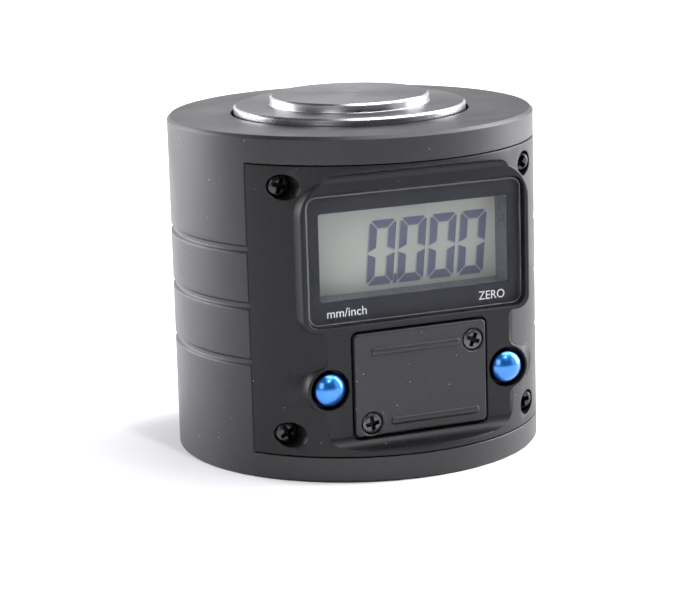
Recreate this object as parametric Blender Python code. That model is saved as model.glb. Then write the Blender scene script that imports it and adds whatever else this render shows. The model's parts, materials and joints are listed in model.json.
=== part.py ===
"""Digital tool-height presetter: a round casing with a sprung anvil, a display and two buttons.

Origin on the base at the casing's axis, +Z up, display facing -Y. All lengths are in metres.
"""
import math

import bmesh
import bpy
from mathutils import Matrix, Vector

MM = 0.001

# Overall sizes
HEIGHT = 50.0 * MM              # base to measuring face: the gauge height
BODY_RADIUS = 26.0 * MM
BODY_SIDES = 80
ROUND_SIDES = 24                # sides of small round pieces
SMALL_SIDES = 12                # sides of hidden screws and pins

# Clearances
FIT = 0.15 * MM                 # between pieces fixed to each other
RUNNING = 0.10 * MM             # radial, shaft in bush
SEAT_GAP = 0.20 * MM            # round covers, base plate and screws
WELL_GAP = 0.40 * MM            # round the anvil's flange

# Casing
ANVIL_STAND = 2.3 * MM          # measuring face above the casing's top
TOP_CHAMFER = 0.45 * MM
FOOT_CHAMFER = 0.30 * MM
GROOVE_COUNT = 3
GROOVE_PITCH = 7.87 * MM
GROOVE_LOWEST = 16.2 * MM
GROOVE_WIDTH = 1.2 * MM
GROOVE_DEPTH = 0.4 * MM
BUSH_WALL = 2.4 * MM

# Moving anvil and spindle
STROKE = 2.0 * MM
DISC_RADIUS = 11.35 * MM
DISC_STEP = 1.3 * MM
FLANGE_RADIUS = 16.5 * MM
FLANGE_THICKNESS = 1.7 * MM
EDGE_CHAMFER = 0.25 * MM
SOCKET_DEPTH = 1.5 * MM
SPINDLE_RADIUS = 4.0 * MM
SPINDLE_FOOT = 5.5 * MM
LOWER_BUSH_FOOT = 7.7 * MM
LOWER_BUSH_LENGTH = 6.8 * MM
UPPER_BUSH_LENGTH = 9.2 * MM
SEAL_THICKNESS = 1.5 * MM
STOP_RING_THICKNESS = 1.2 * MM
STOP_RING_DEPTH = 0.6 * MM      # how far the ring's groove goes into the spindle
STOP_RING_RIM = 2.0 * MM        # how far the ring stands out of the spindle
SPRING_BORE_DEPTH = 10.5 * MM
SPRING_RADIUS = 1.65 * MM
SPRING_WIRE = 0.3 * MM
SPRING_TURNS = 9
SPIGOT_HEIGHT = 2.2 * MM

# Base plate
BASE_RADIUS = 22.0 * MM
BASE_THICKNESS = 1.8 * MM
BASE_SCREW_COUNT = 3
BASE_SCREW_CIRCLE = 19.0 * MM

# Front panel
PANEL_DEPTH = 12.0 * MM         # from the casing's front to the flat behind the panel
PANEL_FOOT = 3.65 * MM
PANEL_HEAD_MARGIN = 3.95 * MM   # casing top above the panel
PAD_SETBACK = 4.1 * MM          # flat pad behind the casing's front
PAD_HEAD_MARGIN = 2.75 * MM     # panel top above the flat pad
PAD_HEAD_FILLET = 1.6 * MM
PAD_HEAD_DRAFT = math.radians(12)
PAD_FOOT_MARGIN = 0.95 * MM
PAD_FOOT_FILLET = 2.0 * MM
PAD_FOOT_DRAFT = math.radians(1)

# Display window, measured from the panel's top
BEZEL_WALL = 0.75 * MM
BEZEL_CORNER = 5.0 * MM
BEZEL_FOOT_CORNER = 2.0 * MM
BEZEL_HEAD = 2.2 * MM           # bezel above the window
BEZEL_FOOT = 0.8 * MM           # bezel below the window
WINDOW_HALF_WIDTH = 16.2 * MM
WINDOW_HEIGHT = 17.9 * MM
WINDOW_HEAD_MARGIN = 4.1 * MM
WINDOW_CORNER = 1.8 * MM
WINDOW_THICKNESS = 1.2 * MM
WINDOW_RECESS = 0.55 * MM
MASK_THICKNESS = 0.25 * MM
OPENING_HALF_WIDTH = 14.25 * MM
OPENING_HEAD = 2.65 * MM        # mask border above the opening
OPENING_FOOT = 3.0 * MM
OPENING_CORNER = 0.4 * MM
DISPLAY_DEPTH = 5.05 * MM       # display face behind the window's front
DISPLAY_OVERLAP = 1.3 * MM      # display glass past the opening, all round
DISPLAY_THICKNESS = 1.8 * MM
CONNECTOR_HEIGHT = 1.8 * MM
CONNECTOR_INSET = 0.9 * MM

# Battery and its cover
COVER_HALF_WIDTH = 10.05 * MM
COVER_HEIGHT = 14.7 * MM
COVER_FOOT_MARGIN = 2.05 * MM   # panel foot to the cover's lower edge
COVER_CORNER = 1.0 * MM
COVER_PROUD = 0.4 * MM
COVER_THICKNESS = 1.2 * MM
RIB_LENGTH = 13.4 * MM
RIB_HEIGHT = 1.0 * MM
RIB_CORNER = 0.45 * MM
RIB_PROUD = 0.3 * MM
RIB_INSET_UPPER = 2.55 * MM     # rib's far end from the cover's side
RIB_INSET_LOWER = 1.35 * MM
UPPER_SCREW_SIDE = 2.05 * MM    # screw axis from the cover's side
UPPER_SCREW_EDGE = 2.8 * MM     # screw axis, and its rib, from the cover's upper edge
LOWER_SCREW_SIDE = 2.55 * MM
LOWER_SCREW_EDGE = 1.9 * MM
CELL_RADIUS = 5.8 * MM
CELL_THICKNESS = 5.4 * MM
CELL_ROOM = 0.35 * MM
CONTACT_THICKNESS = 0.25 * MM
CONTACT_WIDTH = 3.2 * MM
CONTACT_ROOM = 1.2 * MM         # notch in the bay's wall for the side contact

# Buttons and switches
BUTTON_X = 13.45 * MM
BUTTON_ABOVE_FOOT = 9.3 * MM
BUTTON_RADIUS = 2.4 * MM
BUTTON_ROOM = 0.4 * MM
BUTTON_DOME = 1.0 * MM
BUTTON_LIP = 1.2 * MM           # panel in front of the button's collar
BUTTON_COLLAR = 0.65 * MM       # collar past the cap
BUTTON_COLLAR_THICKNESS = 0.95 * MM
BUTTON_STEM = 1.3 * MM
BUTTON_TRAVEL = 0.5 * MM
BOSS_WALL = 0.45 * MM
BOSS_FLARE = 1.25 * MM
BOSS_DEPTH = 2.3 * MM
SWITCH_SIZE = 4.6 * MM
SWITCH_THICKNESS = 1.5 * MM
SWITCH_PIN = 0.9 * MM
SWITCH_PIN_LENGTH = 0.9 * MM
SWITCH_PIN_STAND = 0.55 * MM

# Circuit board, behind the panel's flat
BOARD_DEPTH = 2.1 * MM          # flat to the board's front
BOARD_THICKNESS = 1.0 * MM
BOARD_HALF_WIDTH = 15.9 * MM
BOARD_MARGIN = 0.6 * MM         # board above the display glass
BOARD_FOOT_INSET = 1.65 * MM    # board's lower edge above the cell's
BOARD_STANDOFF = 1.5 * MM
STANDOFF_RADIUS = 2.0 * MM
POCKET_MARGIN = 0.7 * MM
CHIP_RADIUS = 3.0 * MM
CHIP_HEIGHT = 0.9 * MM
CRYSTAL_RADIUS = 0.8 * MM
CRYSTAL_LENGTH = 6.0 * MM
READ_GAP = 0.5 * MM
SCALE_THICKNESS = 0.65 * MM
SCALE_HALF_WIDTH = 4.5 * MM
SCALE_LENGTH = 16.0 * MM
CARRIER_HALF_WIDTH = 6.0 * MM
CARRIER_HEIGHT = 8.0 * MM
CARRIER_TAIL = 1.2 * MM         # carrier behind the guide pin
CAVITY_MARGIN = 1.2 * MM
CAVITY_STEP = 0.5 * MM          # cavity's ends past the bushes
GUIDE_PIN_RADIUS = 1.0 * MM
GUIDE_PIN_WEB = 0.5 * MM        # casing between the bearing bore and the pin's hole
GUIDE_PIN_SEAT = 2.2 * MM

# Screws: (shank radius, head radius, head height)
PANEL_SCREW = (0.85 * MM, 1.55 * MM, 0.95 * MM)
COVER_SCREW = (0.70 * MM, 1.45 * MM, 0.60 * MM)
BOARD_SCREW = (0.70 * MM, 1.40 * MM, 0.90 * MM)
BASE_SCREW = (0.85 * MM, 1.70 * MM, 0.95 * MM)
PANEL_SCREW_EDGE = 3.75 * MM    # screw axis from the panel's side edge
PANEL_SCREW_END = 2.9 * MM      # screw axis from the panel's top and bottom
PANEL_SCREW_WEB = 2.0 * MM      # panel under the screw's head
PANEL_SCREW_GRIP = 4.4 * MM     # screw in the casing
COVER_SCREW_LENGTH = 4.6 * MM
BASE_SCREW_LENGTH = 6.2 * MM
BOARD_SCREW_SIDE = 3.3 * MM     # upper board screws from the board's side
BOARD_SCREW_INSET = 3.15 * MM   # lower board screws inboard of the buttons
BOARD_SCREW_RISE = 4.1 * MM     # lower board screws above the switches
CROSS_SPAN = 1.15               # cross recess, as a share of the head's radius
CROSS_WIDTH = 0.32              # width of a cross arm, as a share of the head's radius
CROSS_DEPTH = 0.7               # depth of the cross, as a share of the head's height
KEY_SHARE = 0.55                # hexagon socket, as a share of the carrier screw's radius

# Levels and planes worked out from the sizes above
BODY_TOP = HEIGHT - ANVIL_STAND
FLANGE_TOP = HEIGHT - DISC_STEP
FLANGE_FOOT = FLANGE_TOP - FLANGE_THICKNESS
WELL_FLOOR = FLANGE_FOOT - STROKE - 2 * FIT
WELL_RADIUS = FLANGE_RADIUS + WELL_GAP
BUSH_RADIUS = SPINDLE_RADIUS + RUNNING + BUSH_WALL
BORE_RADIUS = BUSH_RADIUS + FIT
GUIDE_PIN_Y = BORE_RADIUS + GUIDE_PIN_WEB + GUIDE_PIN_RADIUS + FIT
CARRIER_BACK = GUIDE_PIN_Y + GUIDE_PIN_RADIUS + CARRIER_TAIL
LOWER_BUSH_HEAD = LOWER_BUSH_FOOT + LOWER_BUSH_LENGTH
SEAL_FOOT = WELL_FLOOR - 2 * FIT - SEAL_THICKNESS
UPPER_BUSH_HEAD = SEAL_FOOT - 2 * FIT
UPPER_BUSH_FOOT = UPPER_BUSH_HEAD - UPPER_BUSH_LENGTH
CAVITY_FOOT = LOWER_BUSH_HEAD + CAVITY_STEP
CAVITY_HEAD = UPPER_BUSH_FOOT - CAVITY_STEP
BASE_RECESS = BASE_THICKNESS + SEAT_GAP
PANEL_HEAD = BODY_TOP - PANEL_HEAD_MARGIN
FLAT_Y = PANEL_DEPTH - BODY_RADIUS
PANEL_BACK = FLAT_Y - FIT
PANEL_HALF_CHORD = math.sqrt(BODY_RADIUS ** 2 - PANEL_BACK ** 2)
PAD_Y = PAD_SETBACK - BODY_RADIUS
WINDOW_HEAD = PANEL_HEAD - WINDOW_HEAD_MARGIN
WINDOW_FOOT = WINDOW_HEAD - WINDOW_HEIGHT
WINDOW_Y = PAD_Y + WINDOW_RECESS
MASK_Y = WINDOW_Y + WINDOW_THICKNESS + FIT
WINDOW_SEAT = MASK_Y + MASK_THICKNESS + FIT
OPENING_FLOOR = WINDOW_FOOT + OPENING_FOOT
OPENING_CEILING = WINDOW_HEAD - OPENING_HEAD
OPENING = (-OPENING_HALF_WIDTH, OPENING_HALF_WIDTH, OPENING_FLOOR, OPENING_CEILING)
DISPLAY_Y = WINDOW_Y + DISPLAY_DEPTH
DISPLAY_BACK = DISPLAY_Y + DISPLAY_THICKNESS
BOARD_Y = FLAT_Y + BOARD_DEPTH
BOARD_BACK = BOARD_Y + BOARD_THICKNESS
POCKET_BACK = BOARD_BACK + BOARD_STANDOFF
SCALE_Y = BOARD_BACK + READ_GAP
CARRIER_FRONT = SCALE_Y + SCALE_THICKNESS + FIT
COVER_FOOT = PANEL_FOOT + COVER_FOOT_MARGIN
COVER_HEAD = COVER_FOOT + COVER_HEIGHT
COVER_Y = PAD_Y - COVER_PROUD
COVER_BACK = COVER_Y + COVER_THICKNESS
COVER_SEAT = COVER_BACK + SEAT_GAP
CELL_Z = (COVER_FOOT + COVER_HEAD) / 2
CELL_Y = COVER_BACK + FIT
CELL_BACK = CELL_Y + CELL_THICKNESS
BAY_RADIUS = CELL_RADIUS + CELL_ROOM
BUTTON_Z = PANEL_FOOT + BUTTON_ABOVE_FOOT
BUTTON_HOLE = BUTTON_RADIUS + BUTTON_ROOM
COLLAR_RADIUS = BUTTON_RADIUS + BUTTON_COLLAR
SWITCH_BACK = BOARD_Y - FIT
SWITCH_Y = SWITCH_BACK - SWITCH_THICKNESS
SWITCH_PIN_Y = SWITCH_Y - SWITCH_PIN_STAND
BOARD_FOOT = CELL_Z - CELL_RADIUS + BOARD_FOOT_INSET
BOARD_HEAD = OPENING_CEILING + DISPLAY_OVERLAP + BOARD_MARGIN
CARRIER_Z = (CAVITY_FOOT + CAVITY_HEAD) / 2
PANEL_SCREWS = [
    (side * (PANEL_HALF_CHORD - PANEL_SCREW_EDGE), height)
    for height in (PANEL_HEAD - PANEL_SCREW_END, PANEL_FOOT + PANEL_SCREW_END)
    for side in (-1, 1)
]
COVER_SCREWS = {
    "cover_screw_upper": (COVER_HALF_WIDTH - UPPER_SCREW_SIDE, COVER_HEAD - UPPER_SCREW_EDGE),
    "cover_screw_lower": (LOWER_SCREW_SIDE - COVER_HALF_WIDTH, COVER_FOOT + LOWER_SCREW_EDGE),
}
BOARD_SCREWS = [
    (side * across, height)
    for across, height in (
        (BOARD_HALF_WIDTH - BOARD_SCREW_SIDE, (OPENING_FLOOR + OPENING_CEILING) / 2),
        (BUTTON_X - BOARD_SCREW_INSET, BUTTON_Z + SWITCH_SIZE / 2 + BOARD_SCREW_RISE),
    )
    for side in (-1, 1)
]


def clear_scene():
    """Remove every object of the open file."""
    for old in list(bpy.data.objects):
        bpy.data.objects.remove(old, do_unlink=True)


def material(name, color, roughness, metallic=0.0, alpha=1.0):
    """A Principled material with the piece's colour."""
    made = bpy.data.materials.new(name)
    made.use_nodes = True
    shader = made.node_tree.nodes["Principled BSDF"]
    shader.inputs["Base Color"].default_value = (*color, 1.0)
    shader.inputs["Roughness"].default_value = roughness
    shader.inputs["Metallic"].default_value = metallic
    shader.inputs["Alpha"].default_value = alpha
    return made


def finished(name, bm, look=None):
    """Turn a bmesh into a linked object with outward faces; look is (colour, roughness, metallic, alpha)."""
    bmesh.ops.recalc_face_normals(bm, faces=bm.faces)
    mesh = bpy.data.meshes.new(name)
    bm.to_mesh(mesh)
    bm.free()
    made = bpy.data.objects.new(name, mesh)
    bpy.context.scene.collection.objects.link(made)
    if look:
        mesh.materials.append(material(name, *look))
        mesh.shade_smooth()
        mesh.set_sharp_from_angle(angle=math.radians(30))
    return made


def circle(radius, sides, centre=(0.0, 0.0)):
    """Points round a circle, as (across, up) pairs."""
    turns = [2 * math.pi * step / sides for step in range(sides)]
    return [(centre[0] + radius * math.cos(t), centre[1] + radius * math.sin(t)) for t in turns]


def rounded_box(low_x, high_x, low_z, high_z, corners, steps=4):
    """Outline of a rectangle; corners are the radii at lower left, lower right, upper right, upper left."""
    centres = ((low_x, low_z, 1, 1), (high_x, low_z, -1, 1), (high_x, high_z, -1, -1), (low_x, high_z, 1, -1))
    outline = []
    for quarter, ((x, z, to_x, to_z), radius) in enumerate(zip(centres, corners)):
        for step in range(steps + 1):
            turn = math.pi + (quarter + step / steps) * math.pi / 2
            across = x + radius * (to_x + math.cos(turn))
            outline.append((across, z + radius * (to_z + math.sin(turn))))
    return outline


def arc(centre, radius, start, end, steps=6):
    """Points along an arc, angles in degrees."""
    turns = [math.radians(start + (end - start) * step / steps) for step in range(steps + 1)]
    return [(centre[0] + radius * math.cos(t), centre[1] + radius * math.sin(t)) for t in turns]


def turned(name, profile, sides, look=None):
    """Solid of revolution about Z; the closed profile is a list of (radius, height)."""
    bm = bmesh.new()
    rings = []
    for radius, height in profile:
        corners = circle(radius, sides) if radius else [(0.0, 0.0)]
        rings.append([bm.verts.new((x, y, height)) for x, y in corners])
    for ring, after in zip(rings, rings[1:] + rings[:1]):
        for step in range(sides):
            quad = (ring[step % len(ring)], ring[(step + 1) % len(ring)],
                    after[(step + 1) % len(after)], after[step % len(after)])
            face = list(dict.fromkeys(quad))
            if len(face) > 2:
                bm.faces.new(face)
    return finished(name, bm, look)


def extruded(name, outline, along, low, high, look=None, hole=None):
    """Outline carried along an axis; its pairs are (x, y) for Z, (x, z) for Y and (y, z) for X."""
    place = {
        "X": lambda pair, depth: (depth, pair[0], pair[1]),
        "Y": lambda pair, depth: (pair[0], depth, pair[1]),
        "Z": lambda pair, depth: (pair[0], pair[1], depth),
    }[along]
    bm = bmesh.new()
    ends = [[bm.verts.new(place(pair, depth)) for pair in outline] for depth in (low, high)]
    skin_loops(bm, *ends)
    if hole:
        inner = [[bm.verts.new(place(pair, depth)) for pair in hole] for depth in (low, high)]
        skin_loops(bm, *inner)
        skin_loops(bm, ends[0], inner[0])
        skin_loops(bm, ends[1], inner[1])
    else:
        bm.faces.new(ends[0])
        bm.faces.new(ends[1])
    return finished(name, bm, look)


def skin_loops(bm, first, second):
    """Quads between two loops that have the same number of points."""
    for step in range(len(first)):
        ahead = (step + 1) % len(first)
        bm.faces.new((first[step], first[ahead], second[ahead], second[step]))


def box(name, low, high, look=None):
    """Rectangular solid between two corners."""
    outline = [(low[0], low[1]), (high[0], low[1]), (high[0], high[1]), (low[0], high[1])]
    return extruded(name, outline, "Z", low[2], high[2], look)


def stepped_rod(name, profile, centre, sides, look=None):
    """Turned piece lying along Y through (x, z); the profile is (radius, y) all round its section."""
    rod = turned(name, [(radius, -depth) for radius, depth in profile], sides, look)
    rod.data.transform(Matrix.Rotation(math.pi / 2, 4, "X"))
    rod.data.transform(Matrix.Translation(Vector((centre[0], 0, centre[1]))))
    return rod


def boolean(piece, tool, operation):
    """Cut or join a hidden tool with a piece."""
    tool.hide_render = True
    tool.display_type = "WIRE"
    step = piece.modifiers.new(tool.name, "BOOLEAN")
    step.operation = operation
    step.solver = "EXACT"
    step.object = tool


def cut(piece, *tools):
    """Take tools away from a piece."""
    for tool in tools:
        boolean(piece, tool, "DIFFERENCE")


def join(piece, *tools):
    """Fuse tools to a piece."""
    for tool in tools:
        boolean(piece, tool, "UNION")


def groove(middle):
    """Flat-bottomed grip groove in the casing's outer profile, from the top down."""
    half = GROOVE_WIDTH / 2
    return [
        (BODY_RADIUS, middle + half),
        (BODY_RADIUS - GROOVE_DEPTH, middle + half / 2),
        (BODY_RADIUS - GROOVE_DEPTH, middle - half / 2),
        (BODY_RADIUS, middle - half),
    ]


def build_body():
    """Turned casing: well for the anvil, bearing bore, carrier cavity, board pocket and base recess."""
    outside = [(BODY_RADIUS - TOP_CHAMFER, BODY_TOP), (BODY_RADIUS, BODY_TOP - TOP_CHAMFER)]
    for number in reversed(range(GROOVE_COUNT)):
        outside += groove(GROOVE_LOWEST + number * GROOVE_PITCH)
    outside += [(BODY_RADIUS, FOOT_CHAMFER), (BODY_RADIUS - FOOT_CHAMFER, 0.0)]
    recess = BASE_RADIUS + SEAT_GAP
    inside = [
        (recess, 0.0), (recess, BASE_RECESS), (BORE_RADIUS, BASE_RECESS),
        (BORE_RADIUS, WELL_FLOOR), (WELL_RADIUS, WELL_FLOOR), (WELL_RADIUS, BODY_TOP),
    ]
    body = turned("body", outside + inside, BODY_SIDES, ((0.018, 0.018, 0.020), 0.45, 0.3))
    reach = BODY_RADIUS + MM
    half_pocket = BOARD_HALF_WIDTH + POCKET_MARGIN
    half_cavity = CARRIER_HALF_WIDTH + CAVITY_MARGIN
    cut(
        body,
        box("panel_seat", (-reach, -reach, PANEL_FOOT - FIT), (reach, FLAT_Y, PANEL_HEAD + FIT)),
        box("board_pocket", (-half_pocket, FLAT_Y - MM, BOARD_FOOT - POCKET_MARGIN),
            (half_pocket, POCKET_BACK, BOARD_HEAD + POCKET_MARGIN)),
        box("carrier_cavity", (-half_cavity, POCKET_BACK - MM, CAVITY_FOOT),
            (half_cavity, CARRIER_BACK + CAVITY_MARGIN / 2, CAVITY_HEAD)),
        guide_pin_hole(),
    )
    standoff = rod_profile(STANDOFF_RADIUS, BOARD_BACK + FIT, POCKET_BACK + MM)
    for number, at in enumerate(BOARD_SCREWS, 1):
        join(body, stepped_rod(f"standoff_{number}", standoff, at, SMALL_SIDES))
    cut(body, *body_screw_holes())
    return body


def rod_profile(radius, front, back):
    """Section of a plain rod that lies along Y."""
    return [(0.0, front), (radius, front), (radius, back), (0.0, back)]


def guide_pin_hole():
    """Hole for the guide pin, drilled up from the base recess."""
    outline = circle(GUIDE_PIN_RADIUS + FIT, SMALL_SIDES, (0.0, GUIDE_PIN_Y))
    return extruded("guide_pin_hole", outline, "Z", BASE_RECESS - MM, CAVITY_HEAD + GUIDE_PIN_SEAT + FIT)


def body_screw_holes():
    """Holes in the casing for the panel's, the board's and the base plate's screws."""
    holes = []
    for number, at in enumerate(PANEL_SCREWS, 1):
        profile = rod_profile(PANEL_SCREW[0] + SEAT_GAP, FLAT_Y - MM, FLAT_Y + PANEL_SCREW_GRIP + MM)
        holes.append(stepped_rod(f"panel_screw_hole_{number}", profile, at, SMALL_SIDES))
    for number, at in enumerate(BOARD_SCREWS, 1):
        profile = rod_profile(BOARD_SCREW[0] + FIT, BOARD_BACK - MM, POCKET_BACK + 2 * MM)
        holes.append(stepped_rod(f"board_screw_hole_{number}", profile, at, SMALL_SIDES))
    for number, at in enumerate(base_screw_places(), 1):
        outline = circle(BASE_SCREW[0] + SEAT_GAP, SMALL_SIDES, at)
        top = BASE_SCREW_LENGTH + FIT
        holes.append(extruded(f"base_screw_hole_{number}", outline, "Z", BASE_RECESS - MM, top))
    return holes


def base_screw_places():
    """Base screws on their circle, the first at the back."""
    turns = [math.radians(90 + 360 * number / BASE_SCREW_COUNT) for number in range(BASE_SCREW_COUNT)]
    return [(BASE_SCREW_CIRCLE * math.cos(t), BASE_SCREW_CIRCLE * math.sin(t)) for t in turns]


def build_base_plate():
    """Steel foot with a spigot that centres the return spring."""
    spigot = SPRING_RADIUS - SPRING_WIRE - 2 * FIT
    top = BASE_THICKNESS
    profile = [
        (0.0, 0.0), (BASE_RADIUS - EDGE_CHAMFER, 0.0), (BASE_RADIUS, EDGE_CHAMFER), (BASE_RADIUS, top),
        (spigot, top), (spigot, top + SPIGOT_HEIGHT), (0.0, top + SPIGOT_HEIGHT),
    ]
    plate = turned("base_plate", profile, BODY_SIDES // 2, ((0.36, 0.36, 0.37), 0.3, 1.0))
    shank, head, height = BASE_SCREW
    gap = SEAT_GAP
    for number, at in enumerate(base_screw_places(), 1):
        sink = [(0.0, -MM), (head + gap, -MM), (head + gap, 0.0), (shank + gap, height + gap),
                (shank + gap, top + MM), (0.0, top + MM)]
        tool = turned(f"base_sink_{number}", sink, SMALL_SIDES)
        tool.data.transform(Matrix.Translation(Vector((*at, 0))))
        cut(plate, tool)


def tube(name, inner, outer, low, high, sides, look):
    """Plain ring about Z."""
    return turned(name, [(inner, low), (outer, low), (outer, high), (inner, high)], sides, look)


def build_bearings():
    """Bushes and seal in the casing's bore, and the pin that keeps the carrier from turning."""
    bronze = ((0.42, 0.27, 0.11), 0.35, 1.0)
    bore = SPINDLE_RADIUS + RUNNING
    tube("lower_bush", bore, BUSH_RADIUS, LOWER_BUSH_FOOT, LOWER_BUSH_HEAD, ROUND_SIDES, bronze)
    tube("upper_bush", bore, BUSH_RADIUS, UPPER_BUSH_FOOT, UPPER_BUSH_HEAD, ROUND_SIDES, bronze)
    tube("spindle_seal", bore, BUSH_RADIUS, SEAL_FOOT, SEAL_FOOT + SEAL_THICKNESS, ROUND_SIDES,
         ((0.02, 0.02, 0.02), 0.8))
    outline = circle(GUIDE_PIN_RADIUS, SMALL_SIDES, (0.0, GUIDE_PIN_Y))
    steel = ((0.5, 0.5, 0.5), 0.25, 1.0)
    extruded("guide_pin", outline, "Z", BASE_RECESS + FIT, CAVITY_HEAD + GUIDE_PIN_SEAT, steel)


def build_anvil():
    """Stepped anvil: flange in the casing's well and the raised measuring disc."""
    edge = EDGE_CHAMFER
    socket = SPINDLE_RADIUS + FIT
    profile = [
        (0.0, HEIGHT), (0.0, FLANGE_FOOT + SOCKET_DEPTH), (socket, FLANGE_FOOT + SOCKET_DEPTH),
        (socket, FLANGE_FOOT), (FLANGE_RADIUS - edge, FLANGE_FOOT), (FLANGE_RADIUS, FLANGE_FOOT + edge),
        (FLANGE_RADIUS, FLANGE_TOP - edge), (FLANGE_RADIUS - edge, FLANGE_TOP), (DISC_RADIUS, FLANGE_TOP),
        (DISC_RADIUS, HEIGHT - edge), (DISC_RADIUS - edge, HEIGHT),
    ]
    turned("anvil", profile, BODY_SIDES, ((0.55, 0.54, 0.53), 0.3, 1.0))


def build_spindle():
    """Spindle with its stop-ring groove and spring bore, and the ring that rests under the lower bush."""
    ring_head = LOWER_BUSH_FOOT - 2 * FIT
    ring_foot = ring_head - STOP_RING_THICKNESS
    neck = SPINDLE_RADIUS - STOP_RING_DEPTH
    bore = SPRING_RADIUS + SPRING_WIRE + 2 * FIT
    bore_head = SPINDLE_FOOT + SPRING_BORE_DEPTH
    top = FLANGE_FOOT + SOCKET_DEPTH - FIT
    profile = [
        (0.0, top), (0.0, bore_head), (bore, bore_head), (bore, SPINDLE_FOOT), (SPINDLE_RADIUS, SPINDLE_FOOT),
        (SPINDLE_RADIUS, ring_foot - RUNNING), (neck, ring_foot - RUNNING), (neck, ring_head + RUNNING),
        (SPINDLE_RADIUS, ring_head + RUNNING), (SPINDLE_RADIUS, top),
    ]
    turned("spindle", profile, ROUND_SIDES, ((0.5, 0.5, 0.5), 0.2, 1.0))
    tube("stop_ring", neck + FIT, SPINDLE_RADIUS + STOP_RING_RIM, ring_foot, ring_head, ROUND_SIDES,
         ((0.12, 0.12, 0.13), 0.4, 1.0))


def build_return_spring():
    """Round wire coiled round Z between the base plate and the end of the spindle's bore."""
    turn_steps = 12
    wire_sides = 5
    foot = BASE_THICKNESS + FIT + SPRING_WIRE
    head = SPINDLE_FOOT + SPRING_BORE_DEPTH - FIT - SPRING_WIRE
    steps = SPRING_TURNS * turn_steps
    bm = bmesh.new()
    rings = []
    for step in range(steps + 1):
        turn = 2 * math.pi * step / turn_steps
        outward = Vector((math.cos(turn), math.sin(turn), 0))
        middle = outward * SPRING_RADIUS + Vector((0, 0, foot + (head - foot) * step / steps))
        rings.append([
            bm.verts.new(middle + SPRING_WIRE * (outward * x + Vector((0, 0, z))))
            for x, z in circle(1.0, wire_sides)
        ])
    for ring, after in zip(rings, rings[1:]):
        skin_loops(bm, ring, after)
    bm.faces.new(rings[0])
    bm.faces.new(rings[-1])
    finished("return_spring", bm, ((0.45, 0.45, 0.46), 0.3, 1.0))


def build_carrier():
    """Arm clamped on the spindle, its clamp screw, and the patterned scale on its front."""
    half = CARRIER_HALF_WIDTH
    low = CARRIER_Z - CARRIER_HEIGHT / 2
    high = CARRIER_Z + CARRIER_HEIGHT / 2
    light_alloy = ((0.55, 0.55, 0.56), 0.4, 1.0)
    carrier = box("scale_carrier", (-half, CARRIER_FRONT, low), (half, CARRIER_BACK, high), light_alloy)
    screw_radius = BOARD_SCREW[0]
    screw_low = SPINDLE_RADIUS + 2 * FIT
    tapped = circle(screw_radius + FIT, SMALL_SIDES, (0.0, CARRIER_Z))
    cut(
        carrier,
        extruded("spindle_hole", circle(SPINDLE_RADIUS + FIT, ROUND_SIDES), "Z", low - MM, high + MM),
        extruded("pin_hole", circle(GUIDE_PIN_RADIUS + RUNNING, SMALL_SIDES, (0.0, GUIDE_PIN_Y)), "Z",
                 low - MM, high + MM),
        extruded("carrier_screw_hole", tapped, "X", 0.0, half + MM),
    )
    screw = extruded("carrier_screw", circle(screw_radius, SMALL_SIDES, (0.0, CARRIER_Z)), "X", screw_low,
                     half - FIT, ((0.05, 0.05, 0.05), 0.4, 1.0))
    hexagon = circle(screw_radius * KEY_SHARE, 6, (0.0, CARRIER_Z))
    cut(screw, extruded("carrier_screw_socket", hexagon, "X", (screw_low + half) / 2, half + MM))
    low = (-SCALE_HALF_WIDTH, SCALE_Y, CARRIER_Z - SCALE_LENGTH / 2)
    high = (SCALE_HALF_WIDTH, SCALE_Y + SCALE_THICKNESS, CARRIER_Z + SCALE_LENGTH / 2)
    box("measuring_scale", low, high, ((0.05, 0.16, 0.08), 0.3))


def pad_cutter():
    """Everything in front of the flat pad: a filleted, drafted section carried across the panel."""
    front = -BODY_RADIUS - MM
    head = PANEL_HEAD - PAD_HEAD_MARGIN
    foot = PANEL_FOOT + PAD_FOOT_MARGIN + PAD_FOOT_FILLET
    head_reach = PAD_Y - PAD_HEAD_FILLET
    foot_reach = PAD_Y - PAD_FOOT_FILLET
    section = arc((head_reach, head), PAD_HEAD_FILLET, 0, 90)
    section.append((front, head + PAD_HEAD_FILLET + (head_reach - front) * math.tan(PAD_HEAD_DRAFT)))
    section.append((front, foot - PAD_FOOT_FILLET - (foot_reach - front) * math.tan(PAD_FOOT_DRAFT)))
    section += arc((foot_reach, foot), PAD_FOOT_FILLET, 270, 360)
    return extruded("pad_cutter", section, "X", -BODY_RADIUS, BODY_RADIUS)


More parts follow.
